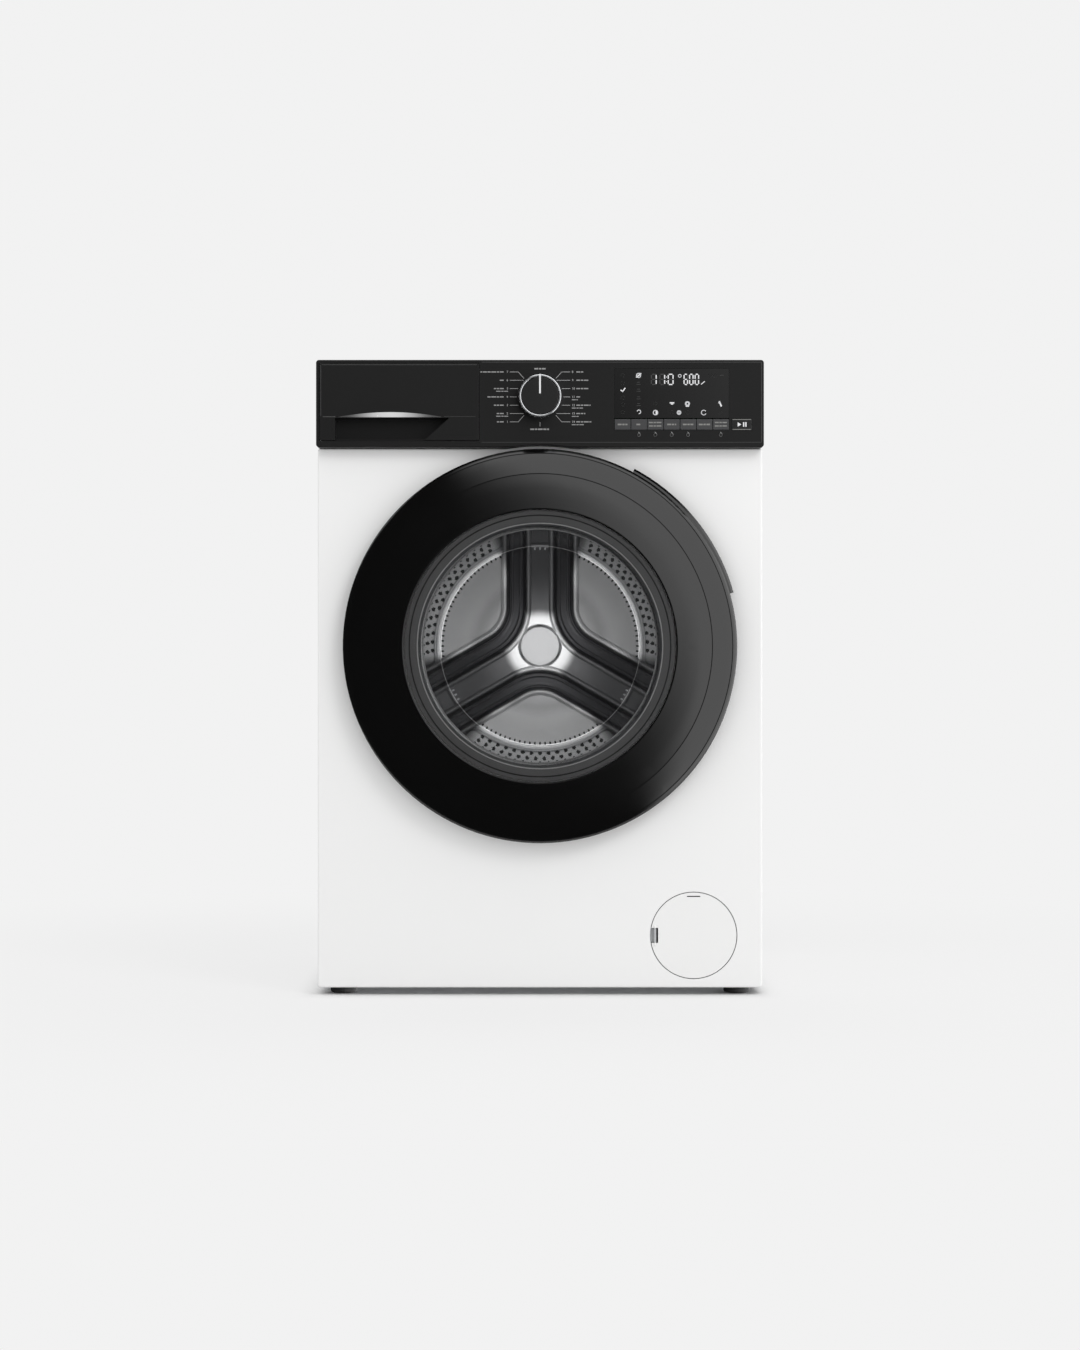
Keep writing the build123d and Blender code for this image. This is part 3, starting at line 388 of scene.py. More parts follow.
# The grip trim has a painted reflection: its colour runs from near white in the middle to dark towards both
# ends.
satin = Finish("grip_chrome_painted_reflection")
satin_x = Value(satin, satin.node("SeparateXYZ", {}, {0: satin.where()}).outputs["X"])
from_middle = satin_x.math("ABSOLUTE", satin_x - (grip_low.x + grip_high.x) / 2, 0.0)
painted_reflection_fade = satin.fade(from_middle, 0.004, 0.060)
satin.shader(
    base_color=satin.tint(painted_reflection_fade, (0.85, 0.85, 0.85), (0.09, 0.09, 0.09)),
    metallic=0.35,
    roughness=0.20 + satin.grain(0.01) * 0.1,
)
nodes["drawer_grip_trim"].data.materials[0] = satin.material

# %% [markdown]
# Most shapes here are turned, bent or stamped, so two builders are enough: one turns a section about a
# front-to-back line, and one gives a flat outline a thickness.


# %% Shape builders
def piece(name, corners, faces, finish, body, smooth=True):
    """A mesh object with a finish that rides on a body."""
    mesh = bpy.data.meshes.new(name)
    mesh.from_pydata(corners, [], faces)
    mesh.validate()
    mesh.polygons.foreach_set("use_smooth", [smooth] * len(mesh.polygons))
    made = bpy.data.objects.new(name, mesh)
    scene.collection.objects.link(made)
    made.data.materials.append(finish.material)
    if body:
        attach(made, body)
    return made


def crisp(made, degrees=35):
    """Keeps smooth shading off edges that turn by more than this angle."""
    made.data.set_sharp_from_angle(angle=radians(degrees))
    return made


def turned(name, section, finish, body, steps=160, centre=(0, None), start=0.0, sweep=360.0):
    """Turns a closed section of (radius, depth) points in metres."""
    centre_x, centre_z = centre[0], axis_z if centre[1] is None else centre[1]
    closed = sweep >= 360
    rings = steps if closed else steps + 1
    corners = []
    for ring in range(rings):
        angle = radians(start + sweep * ring / steps)
        for radius, depth in section:
            corners.append((centre_x + radius * cos(angle), depth, centre_z + radius * sin(angle)))
    count = len(section)
    faces = []
    for ring in range(steps):
        here, after = ring * count, (ring + 1) % rings * count
        for index in range(count):
            following = (index + 1) % count
            faces.append((here + index, here + following, after + following, after + index))
    if not closed:
        faces.append(tuple(range(count)))
        faces.append(tuple(range((rings - 1) * count, rings * count))[::-1])
    made = piece(name, corners, faces, finish, body)
    recalculate(made)
    return crisp(made)


def recalculate(made):
    """Turns every face outwards."""
    working = bmesh.new()
    working.from_mesh(made.data)
    bmesh.ops.remove_doubles(working, verts=working.verts, dist=1e-6)
    bmesh.ops.recalc_face_normals(working, faces=working.faces)
    working.to_mesh(made.data)
    working.free()


def slab(outline, front_y, thickness):
    """Corners and faces of an outline of (x, z) points given a thickness towards the back."""
    count = len(outline)
    corners = [(x, front_y, z) for x, z in outline] + [(x, front_y + thickness, z) for x, z in outline]
    faces = [tuple(range(count))[::-1], tuple(range(count, 2 * count))]
    for index in range(count):
        following = (index + 1) % count
        faces.append((index, following, count + following, count + index))
    return corners, faces


def joined(name, solids, finish, body, smooth=False):
    """One piece from several (corners, faces) pairs."""
    corners, faces = [], []
    for more_corners, more_faces in solids:
        base = len(corners)
        corners += more_corners
        faces += [tuple(base + index for index in face) for face in more_faces]
    made = piece(name, corners, faces, finish, body, smooth)
    recalculate(made)
    return made


def arc(centre, radius, first, last, steps):
    """Points of (x, z) on an arc, in degrees, with 0 to the right and 90 up."""
    points = []
    for step in range(steps + 1):
        angle = radians(first + (last - first) * step / steps)
        points.append((centre[0] + radius * cos(angle), centre[1] + radius * sin(angle)))
    return points


print("builders ready")

# %% [markdown]
# The drum's rear wall is pressed from one sheet. Three wide channels, each bent once near the hub, stiffen
# it, and the metal left between them reads as a three-armed star. The pressing is easiest to describe as a
# height over the disc, so the wall is a fine grid whose depth comes from the distance to each channel's
# middle line. The same distance darkens the channels, which in the real drum see little light.

# %% Height of the pressing
back_low, back_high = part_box("drum_back")
star_plane = back_low.y + 0.010
disc_radius = (back_high.x - back_low.x) / 2
channel_directions = (270, 30, 150)
channel_offset, channel_bend, channel_half = 0.0345, 0.066, 0.0148


def step_between(low, high, value):
    """Rises smoothly from 0 at low to 1 at high."""
    share = min(1.0, max(0.0, (value - low) / (high - low)))
    return share * share * (3 - 2 * share)


def channel_distance(x, z, direction):
    """Distance from the middle line of the channel that is centred on this direction."""
    turn = radians(direction - 270)
    along_x = x * cos(turn) + z * sin(turn)
    along_z = -x * sin(turn) + z * cos(turn)
    slope = radians(30)
    bend_z = -channel_offset / cos(slope) - channel_bend / cos(slope)
    side = abs(along_x)
    if side <= (along_z - bend_z) * sin(slope) / cos(slope):
        return abs(hypot(side, along_z - bend_z) - channel_bend)
    signed = -along_z * cos(slope) - side * sin(slope)
    return abs(signed - channel_offset)


def channel_share(x, z):
    """1 on a channel's floor and 0 outside it, with the raised lip on its edges."""
    nearest = min(channel_distance(x, z, direction) for direction in channel_directions)
    radius = hypot(x, z)
    floor = 1 - step_between(channel_half - 0.0055, channel_half, nearest)
    lip = step_between(channel_half - 0.001, channel_half + 0.002, nearest)
    lip *= 1 - step_between(channel_half + 0.003, channel_half + 0.007, nearest)
    inner_line = step_between(channel_half - 0.0105, channel_half - 0.0085, nearest)
    inner_line *= 1 - step_between(channel_half - 0.0085, channel_half - 0.0062, nearest)
    fade = 1 - step_between(0.196, 0.206, radius)
    return floor * fade, lip * fade, inner_line * fade


def pocket_share(x, z):
    """1 inside the three long pockets near the rim, which hold the rear drain holes."""
    radius, angle = hypot(x, z), atan2(z, x) * 180 / pi
    best = 0.0
    for direction in channel_directions:
        away = abs((angle - direction + 180) % 360 - 180)
        overrun = max(0.0, away - 36) * pi / 180 * radius
        reach = hypot(overrun, radius - 0.168)
        best = max(best, 1 - step_between(0.0105, 0.0135, reach))
    return best


def pressing(x, z):
    """How far the wall stands towards the door at this point, its painted shade and its painted highlight."""
    radius = hypot(x, z)
    floor, lip, inner_line = channel_share(x, z)
    dish = 0.006 * step_between(0.030, 0.150, radius)
    hub = 0.0030 * (1 - step_between(0.0285, 0.0315, radius))
    arm_angle = min(abs((atan2(z, x) * 180 / pi - arm + 180) % 360 - 180) for arm in (90, 210, 330))
    pocket = pocket_share(x, z) * (1 - floor)
    bead = 0.0012 * (1 - step_between(0.0008, 0.0024, abs(radius - 0.149)))
    height = 0.004 + hub - dish + lip * 0.0022 + inner_line * 0.0010 * floor - floor * 0.0095
    height += bead * (1 - floor) - pocket * 0.004
    # Painted shade: the channel floors, which see little light, are darkened most. The arms face the drum's
    # dark side and the inner part of each sector leans away from the door, so both are toned down here with
    # painted shade: a single sheet lit from the front would show them as bright as the hub. The flat hub gets
    # a lighter painted shade, and the raised lip, the inner line and the bead get a painted highlight.
    arm = step_between(0.040, 0.056, radius) * (1 - step_between(20, 27, arm_angle)) * 0.9
    sector = 0.42 * step_between(0.045, 0.070, radius) * (1 - step_between(0.088, 0.112, radius))
    hub_painted_shade = 0.5 * (1 - step_between(0.0275, 0.0290, radius))
    star_painted_highlight = max(lip * (1 - floor), inner_line * floor * 0.5, bead / 0.0012 * (1 - floor) * 0.6)
    return height, max(floor, arm, sector, hub_painted_shade), star_painted_highlight


def drain_holes():
    """Centres and radii of the holes in the pockets and of the row of small ones inside them."""
    holes = []
    for direction in channel_directions:
        for row, radius in enumerate((0.1585, 0.1660, 0.1735, 0.1810)):
            spacing = 0.0128 / radius
            for step in range(-8, 9):
                away = (step + 0.5 * (row % 2)) * spacing
                if abs(away) < radians(36):
                    turn = radians(direction) + away
                    holes.append((radius * cos(turn), radius * sin(turn), 0.0029))
    for step in range(120):
        turn = 2 * pi * step / 120
        x, z = 0.1440 * cos(turn), 0.1440 * sin(turn)
        if channel_share(x, z)[1] < 0.05:
            holes.append((x, z, 0.0018))
    return holes


print("channels", len(channel_directions), "disc radius", round(disc_radius, 4))

# %% The rear wall as a fine disc
# The star's steel is darkened by painted shade where the channel attribute is set. Where the lip attribute is
# set it turns mostly non-metallic and pale, a painted highlight that the diffuse drum lamp brightens.
painted_light_steel = Finish("star_stainless_painted_light")
painted_shade_attribute = painted_light_steel.node("Attribute", {"attribute_name": "channel"})
painted_shade_mask = Value(painted_light_steel, painted_shade_attribute.outputs["Fac"])
painted_highlight_mask = Value(painted_light_steel, painted_light_steel.node("Attribute", {"attribute_name": "lip"}).outputs["Fac"])
brushing = painted_light_steel.grain(0.0010, 2.0, (1, 0.05, 1))
painted_light_steel.shader(
    base_color=painted_light_steel.tint(painted_shade_mask, (0.66, 0.665, 0.67), (0.055, 0.055, 0.058)),
    metallic=1.0 - painted_highlight_mask * 0.8,
    roughness=0.26 + brushing * 0.10,
)


def drum_rear_wall():
    """A polar grid, finest where the glass shows it."""
    rings = [0.0]
    while rings[-1] < disc_radius:
        rings.append(rings[-1] + (0.0013 if rings[-1] < 0.185 else 0.006))
    rings[-1] = disc_radius
    steps = 720
    corners, painted_shade_values, painted_highlight_values, faces = [], [], [], []
    for radius in rings[1:]:
        for step in range(steps):
            angle = 2 * pi * step / steps
            x, z = radius * cos(angle), radius * sin(angle)
            # dark is the painted shade of the point and lip its painted highlight.
            height, dark, lip = pressing(x, z)
            corners.append((x, star_plane - height, axis_z + z))
            painted_shade_values.append(dark)
            painted_highlight_values.append(lip)
    height, dark, lip = pressing(0, 0)
    corners.append((0, star_plane - height, axis_z))
    painted_shade_values.append(dark)
    painted_highlight_values.append(lip)
    open_cells = set()
    for hole_x, hole_z, hole_size in drain_holes():
        hole_turn, hole_reach = atan2(hole_z, hole_x), hypot(hole_x, hole_z)
        ring_span = int(hole_size / 0.0013) + 2
        step_span = int(hole_size / hole_reach / (2 * pi / steps)) + 2
        near_ring = int(hole_reach / 0.0013)
        near_step = int(round(hole_turn / (2 * pi / steps)))
        for ring in range(near_ring - ring_span, near_ring + ring_span + 1):
            for step in range(near_step - step_span, near_step + step_span + 1):
                middle, turn = (rings[ring + 1] + rings[ring + 2]) / 2, 2 * pi * (step + 0.5) / steps
                if hypot(middle * cos(turn) - hole_x, middle * sin(turn) - hole_z) < hole_size:
                    open_cells.add((ring, step % steps))
    hub = len(corners) - 1
    for step in range(steps):
        faces.append((hub, (step + 1) % steps, step))
    for ring in range(len(rings) - 2):
        here, after = ring * steps, (ring + 1) * steps
        for step in range(steps):
            following = (step + 1) % steps
            if (ring, step) not in open_cells:
                faces.append((here + step, here + following, after + following, after + step))
    wall = piece("drum_rear_wall", corners, faces, painted_light_steel, "drum")
    # The channel attribute carries the painted shade and the lip attribute the painted highlight.
    wall.data.attributes.new("channel", "FLOAT", "POINT").data.foreach_set("value", painted_shade_values)
    wall.data.attributes.new("lip", "FLOAT", "POINT").data.foreach_set("value", painted_highlight_values)
    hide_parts("drum_back")
    return wall


rear_wall = drum_rear_wall()
print("rear wall faces", len(rear_wall.data.polygons))

# %% [markdown]
# The drum's side wall is a sheet full of small drain holes in staggered rows. Cutting thousands of holes
# from a solid is slow. A tile with one octagonal hole, repeated round and along the drum, makes the same
# sheet directly, and its front end is a turned lip.

# %% Perforated side wall
shell_low, shell_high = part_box("drum_shell")
shell_radius = (shell_high.x - shell_low.x) / 2
hole_radius, round_tiles, tile_depth = 0.0019, 120, 0.0118


def perforated_wall():
    near, far = shell_low.y + 0.012, shell_high.y - 0.001
    rows = int((far - near) / tile_depth)
    depth = (far - near) / rows
    arc_width = 2 * pi / round_tiles
    corners, faces = [], []
    radius = shell_radius - 0.0008
    frame_points = [(1, 0), (1, 1), (0, 1), (-1, 1), (-1, 0), (-1, -1), (0, -1), (1, -1)]
    for row in range(rows):
        for column in range(round_tiles):
            middle = (column + 0.5 * (row % 2)) * arc_width
            middle_y = near + (row + 0.5) * depth
            base = len(corners)
            for side, rise in frame_points:
                angle = middle + side * arc_width / 2
                tile_y = middle_y + rise * depth / 2
                corners.append((radius * cos(angle), tile_y, axis_z + radius * sin(angle)))
            for index, (side, rise) in enumerate(frame_points):
                turn = radians(45 * index)
                angle = middle + hole_radius * cos(turn) / radius
                y = middle_y + hole_radius * sin(turn)
                corners.append((radius * cos(angle), y, axis_z + radius * sin(angle)))
            for index in range(8):
                following = (index + 1) % 8
                faces.append((base + index, base + following, base + 8 + following, base + 8 + index))
    wall = piece("drum_perforated_wall", corners, faces, stainless, "drum")
    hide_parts("drum_shell")
    return wall, rows * round_tiles


holes = perforated_wall()[1]
lip_section = [
    (0.1604, shell_low.y + 0.013),
    (0.1596, shell_low.y + 0.004),
    (0.1612, shell_low.y + 0.001),
    (0.168, shell_low.y + 0.0005),
    (shell_radius - 0.009, shell_low.y + 0.002),
    (shell_radius - 0.0004, shell_low.y + 0.010),
    (shell_radius - 0.0004, shell_low.y + 0.014),
    (shell_radius - 0.0014, shell_low.y + 0.014),
    (shell_radius - 0.0014, shell_low.y + 0.0105),
    (shell_radius - 0.0095, shell_low.y + 0.0034),
    (0.168, shell_low.y + 0.0018),
    (0.1622, shell_low.y + 0.0022),
    (0.1608, shell_low.y + 0.0045),
    (0.1616, shell_low.y + 0.013),
]
drum_lip = turned("drum_front_lip", lip_section, stainless, "drum")
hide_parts("drum_shell")
print("holes in the side wall", holes)

# %% [markdown]
# Three paddles lift the laundry as the drum turns. Each is a hollow plastic fin with a rounded ridge and
# sloping ends. Its section changes along its length, so it is lofted: a row of rounded sections, lower and
# narrower towards the ends, skinned together.

# %% Lifting paddles
lifter_low, lifter_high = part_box("drum_lifters")
paddle_base, paddle_rise = shell_radius - 0.0016, 0.058


def paddle(name, direction):
    stations, around = 24, 16
    length = lifter_high.y - lifter_low.y
    corners, faces = [], []
    for station in range(stations + 1):
        share = station / stations
        ends = min(1.0, min(share, 1 - share) / 0.16)
        rise = paddle_rise * (1 - (1 - ends) ** 2)
        half = 0.029 - 0.004 * (1 - ends)
        for index in range(around + 1):
            side = -1 + 2 * index / around
            lift = rise * (1 - abs(side) ** 2.6) ** 0.75
            across = half * side * (1 - 0.52 * (lift / paddle_rise if paddle_rise else 0) ** 1.3)
            reach = (paddle_base**2 - across**2) ** 0.5 - lift
            turn = radians(direction)
            x = reach * cos(turn) - across * sin(turn)
            z = reach * sin(turn) + across * cos(turn)
            corners.append((x, lifter_low.y + length * share, axis_z + z))
    row = around + 1
    for station in range(stations):
        for index in range(around):
            here = station * row + index
            faces.append((here, here + 1, here + row + 1, here + row))
        first = station * row
        faces.append((first + around, first, first + row, first + row + around))
    made = piece(name, corners, faces, grey_plastic, "drum")
    recalculate(made)
    return crisp(made, 50)


paddles = [paddle("lifting_paddle_" + str(direction), direction) for direction in (90, 210, 330)]
for made in paddles:
    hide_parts("drum_lifters")
print("paddles", len(paddles))

# %% [markdown]
# The door's inner glass is a thick pressed bowl that keeps the laundry out of the porthole. Its rolled rim
# and stepped mouth catch rings of light. A turned section with a few rounded steps gives those rings their
# edges, and the same section closes on the axis for the flat end.

# %% Pressed bowl
bowl_low, bowl_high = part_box("door_bowl")


def at(radius_mm, proud_mm):
    """A point of a turned section: radius, and distance in front of the cabinet's front panel."""
    return (radius_mm * mm, panel_y - proud_mm * mm)


bowl_front_mm = [
    (179.0, 18.0),
    (178.0, 18.4),
    (164.5, 18.4),
    (161.5, 17.6),
    (157.6, 14.0),
    (155.2, 10.5),
    (150.9, -14),
    (146.8, -37.6),
    (143.2, -58),
    (139.9, -78.6),
    (138.0, -83),
    (134.5, -86.6),
    (130.0, -88.6),
    (124.0, -89.8),
    (70, -92.6),
    (0, -92.8),
]
bowl_back_mm = [
    (0, -97.0),
    (70, -97.0),
    (126.0, -94.2),
    (133.5, -92.6),
    (139.2, -89.6),
    (142.4, -85.5),
    (144.2, -80.6),
    (147.6, -60),
    (151.2, -38.2),
    (155.2, -14),
    (159.0, 8.4),
    (161.0, 11.8),
    (164.5, 14.0),
    (178.0, 14.0),
    (179.0, 14.6),
]
bowl_section = [at(*point) for point in bowl_front_mm + bowl_back_mm]
bowl = turned("pressed_glass_bowl", bowl_section, bowl_glass, "door", 192)
crisp(bowl, 60)
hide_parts("door_bowl")
print("bowl depth", round(bowl_high.y - bowl_low.y, 4))

# %% [markdown]
# Behind the edge of the flat smoked pane a grey band is printed, and a darker line parts it from the clear
# middle. Printed bands are thin rings of their own, so they keep a clean edge at any size.

# %% Printed band behind the pane
band_grey = moulding("band_grey", (0.120, 0.120, 0.121), (0.150, 0.150, 0.151), 0.30, 0.08, 0.002, 0.000004)
mark_black = moulding("mark_black", (0.003,) * 3, (0.004,) * 3, 0.35, 0.05, 0.002, 0.000004)
pane_back = window_high.y


def thin_ring(name, inner_mm, outer_mm, near, thickness, finish, body):
    inner, outer = inner_mm * mm, outer_mm * mm
    section = [(inner, near), (outer, near), (outer, near + thickness), (inner, near + thickness)]
    return turned(name, section, finish, body, 192)


thin_ring("printed_band", 164.0, 180.2, pane_back + 0.0002, 0.0003, band_grey, "door")
thin_ring("printed_band_line", 172.6, 174.4, pane_back + 0.00005, 0.0001, mark_black, "door")
# The three light grey rings are painted highlights: they stand in for the light caught by the bowl's rolled
# rim, its inner step and the edge of its end.
painted_highlight_grey = moulding("painted_highlight_grey", (0.50, 0.50, 0.50), (0.58, 0.58, 0.58), 0.30, 0.08, 0.002, 0.000004)
thin_ring("bowl_rim_painted_highlight", 162.2, 163.6, pane_back + 0.0006, 0.0010, painted_highlight_grey, "door")
thin_ring("bowl_inner_painted_highlight", 155.9, 157.1, bowl_low.y + 0.0145, 0.0008, painted_highlight_grey, "door")
thin_ring("bowl_end_painted_highlight", 136.4, 137.3, bowl_high.y - 0.0145, 0.0006, painted_highlight_grey, "door")
print("pane back", round(pane_back, 4))

# %% [markdown]
# The door seal is a rubber bellows that joins the still cabinet to the tub, which moves on its springs. It is
# turned from one rounded section.

# %% Door seal
seal_line_mm = [
    (161.0, -6.6),
    (165.0, -4.2),
    (169.4, -5.0),
    (170.4, -10.0),
    (170.2, -15.5),
    (174.0, -18.6),
    (179.4, -21.4),
    (181.6, -25.2),
    (179.0, -29.0),
    (171.0, -31.4),
    (165.0, -33.6),
    (162.8, -37.8),
    (165.0, -42.2),
    (170.0, -44.8),
    (173.6, -47.4),
    (171.6, -51.0),
    (170.0, -55.0),
    (170.0, -61.5),
]


def ribbon(points, thickness):
    """A closed section of even thickness along a line of points."""
    left, right = [], []
    for index, (x, y) in enumerate(points):
        before = points[max(index - 1, 0)]
        after = points[min(index + 1, len(points) - 1)]
        run = Vector((after[0] - before[0], after[1] - before[1])).normalized()
        left.append((x - run.y * thickness / 2, y + run.x * thickness / 2))
        right.append((x + run.y * thickness / 2, y - run.x * thickness / 2))
    return left + right[::-1]


seal_section = ribbon([at(*point) for point in seal_line_mm], 0.0028)
seal = turned("door_seal", seal_section, grey_rubber, None, 160)
crisp(seal, 60)
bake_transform(seal)
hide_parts("door_gasket")
print("seal points", len(seal_line_mm))

# %% [markdown]
# The hoses under the drawer and the tub, and the two coil springs, also have one end on the cabinet and one
# on the tub. Their solids already have the right shape, so each gets a copy of that mesh with its own finish,
# while the solid itself stays as it is and is hidden.


# %% Hoses and springs that give
def giving(name, node, finish):
    made = bpy.data.objects.new(name, nodes[node].data.copy())
    scene.collection.objects.link(made)
    made.data.materials.clear()
    made.data.materials.append(finish.material)
    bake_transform(made)
    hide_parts(node)
    return made


springs = giving("suspension_coils", "suspension_springs", oiled)
dispenser = giving("dispenser_bellows", "dispenser_hose", black_rubber)
drains = giving("sump_hoses", "drain_hoses", black_rubber)
print("giving pieces", 3)

# %% [markdown]
# The marks on the fascia are white ink. Ink is built as shapes a tenth of a millimetre thick: bars for
# leader lines, rounded outlines for symbols and the drawing program's own letterforms for numerals. The
# programme positions are numbered, because numbers belong on any dial.

# %% Ink
ink_white = Finish("printed_ink")
ink_white.shader(base_color=(0.42, 0.42, 0.42), roughness=0.5 + ink_white.grain(0.003) * 0.1)
ink_dim = Finish("printed_ink_dim")
ink_dim.shader(base_color=(0.27, 0.27, 0.27), roughness=0.5 + ink_dim.grain(0.003) * 0.1)
ink_key = Finish("printed_ink_keys")
ink_key.shader(base_color=(0.22, 0.22, 0.21), roughness=0.5 + ink_key.grain(0.003) * 0.1)
ink_mid = Finish("printed_ink_symbols")
ink_mid.shader(base_color=(0.35, 0.35, 0.35), roughness=0.5 + ink_mid.grain(0.003) * 0.1)
# This glowing finish lights the display's segments and icons. On the selector's pointer and rim mark, which
# are white ink, its glow is painted light.
glowing_white = Finish("glowing_marks")
glow = glowing_white.grain(0.001)
glowing_white.shader(
    base_color=(0.5, 0.5, 0.5),
    roughness=0.4,
    emission_color=glowing_white.tint(glow, (0.55, 0.56, 0.58), (0.62, 0.63, 0.65)),
    emission_strength=0.5,
)
ink_depth = 0.00012


def bar(x, z, width, height, angle=0.0):
    """A flat bar centred on x, z in millimetres, turned by an angle in degrees."""
    turn = radians(angle)
    outline = []
    for across, up in ((-0.5, -0.5), (0.5, -0.5), (0.5, 0.5), (-0.5, 0.5)):
        local_x, local_z = across * width, up * height
        point_x = x + local_x * cos(turn) - local_z * sin(turn)
        point_z = z + local_x * sin(turn) + local_z * cos(turn)
        outline.append((point_x * mm, point_z * mm))
    return outline


def stroke(start, end, width):
    """A bar between two points in millimetres."""
    run = hypot(end[0] - start[0], end[1] - start[1])
    angle = atan2(end[1] - start[1], end[0] - start[0]) * 180 / pi
    return bar((start[0] + end[0]) / 2, (start[1] + end[1]) / 2, run + width, width, angle)


def hoop(x, z, radius, width, first=0, last=360):
    """A ring or part of one, as short strokes."""
    points = arc((x, z), radius, first, last, max(4, int(abs(last - first) / 24)))
    return [stroke(a, b, width) for a, b in zip(points, points[1:])]


def printed(name, outlines, front_y, finish, body):
    solids = [slab(outline, front_y - ink_depth, ink_depth) for outline in outlines]
    return joined(name, solids, finish, body)


def numeral(name, text, x, z, height, front_y, finish, body, align="CENTER"):
    """A number as a thin mesh: x, z and height are in millimetres."""
    letters = bpy.data.curves.new(name, "FONT")
    letters.body = text
    letters.size = height * mm * 1.38
    letters.align_x = align
    letters.align_y = "CENTER"
    letters.extrude = ink_depth / 2
    letters.resolution_u = 3
    shape = bpy.data.objects.new(name + "_curve", letters)
    mesh = bpy.data.meshes.new_from_object(shape)
    bpy.data.objects.remove(shape)
    mesh.name = name
    made = bpy.data.objects.new(name, mesh)
    scene.collection.objects.link(made)
    turn = Matrix.Rotation(radians(90), 4, "X")
    mesh.transform(Matrix.Translation((x * mm, front_y - ink_depth / 2, z * mm)) @ turn)
    made.data.materials.clear()
    made.data.materials.append(finish.material)
    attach(made, body)
    return made


print("ink ready")

# %% Programme ring round the selector
knob_mm = knob_z / mm
row_pitch, rows = 11.1, 7
lines = []
for row in range(rows):
    z = knob_mm + (3 - row) * row_pitch
    for side in (-1, 1):
        outer = 40.0
        if row in (0, rows - 1):
            bend = 8.5 if row == 0 else -8.5
            lines.append(stroke((side * outer, z), (side * 29.0, z), 0.55))
            lines.append(stroke((side * 29.0, z), (side * 21.5, z - bend), 0.55))
        else:
            reach = (31.5**2 - min(31.0, abs(z - knob_mm)) ** 2) ** 0.5
            lines.append(stroke((side * outer, z), (side * max(reach, 22.0), z), 0.55))
        number = row + 8 if side > 0 else rows - row
        start = side * 42.5
        numeral(
            "programme_number_" + str(number),
            str(number),
            start,
            z,
            3.0,
            fascia_y,
            ink_white,
            "cabinet",
            "LEFT" if side > 0 else "RIGHT",
        )
lines.append(bar(0, knob_mm - 36.6, 0.55, 6.0))
printed("programme_lines", lines, fascia_y, ink_white, "cabinet")
print("programmes", rows * 2)

# %% [markdown]
# The pointer is a white bar from the knob's rim towards its middle. It turns with the knob, so it rides on
# the selector.

# %% Selector pointer
knob_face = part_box("selector_knob")[0].y
ring_front = knob_low.y
pointer_low = knob_mm + 3.0
# The pointer and the rim mark are white ink given the glowing finish, a painted glow: the knob holds no lamp.
pointer_high = knob_mm + (knob_high.x / mm) - 4.2
printed(
    "selector_pointer",
    [bar(0, (pointer_low + pointer_high) / 2, 2.2, pointer_high - pointer_low)],
    knob_face - 0.0002,
    glowing_white,
    "selector",
)
joined(
    "selector_rim_mark",
    [slab(bar(0, knob_mm + knob_high.x / mm - 2.2, 2.2, 4.0), ring_front - 0.0002, 0.0006)],
    glowing_white,
    "selector",
)
print("pointer", round(pointer_low, 1), round(pointer_high, 1))

# %% [markdown]
# Labels on a real fascia are words. Here each word is a row of short bars, which reads as small print from
# a distance and names nothing. The same bars label the keys.


# %% Small print
def words(start, z, length, height=1.5, side=1):
    """Bars that stand for words, from a start going right (side 1) or left (side -1)."""
    outlines = []
    done, index = 0.0, 0
    while done < length - 1.5:
        run = min((5.2, 3.1, 6.4, 4.2)[index % 4], length - done)
        outlines.append(bar(start + side * (done + run / 2), z, run, height))
        done += run + 0.9
        index += 1
    return outlines


left_lengths = (31, 7, 13, 23, 13, 10, 9)
right_lengths = (10, 16, 16, 5, 19, 12, 20)
print_bars = []
for row in range(rows):
    z = knob_mm + (3 - row) * row_pitch
    print_bars += words(-48.5, z, left_lengths[row], side=-1)
    print_bars += words(48.5, z, right_lengths[row])
    if row in (2, 5):
        print_bars += words(-42.5, z - 3.6, 16, 1.2, -1)
    if row in (3, 4, 5, 6):
        print_bars += words(42.5, z - 3.8, (8, 15, 9, 16)[row - 3], 1.2)
print_bars += words(-7.5, knob_mm + 37.6, 15, 2.0)
print_bars += words(-13, knob_mm - 43.2, 25, 2.0)
printed("programme_names", print_bars, fascia_y, ink_dim, "cabinet")
print("small print bars", len(print_bars))

# %% [markdown]
# A seven-segment digit is seven bars. Segments that are off still show faintly, so each digit is drawn
# twice: the lit bars in a glowing finish and the others in a dark grey.

# %% Display
display_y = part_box("display_window")[0].y
segments_on = {"0": "abcdef", "1": "bc", "6": "acdefg", "2": "abged"}


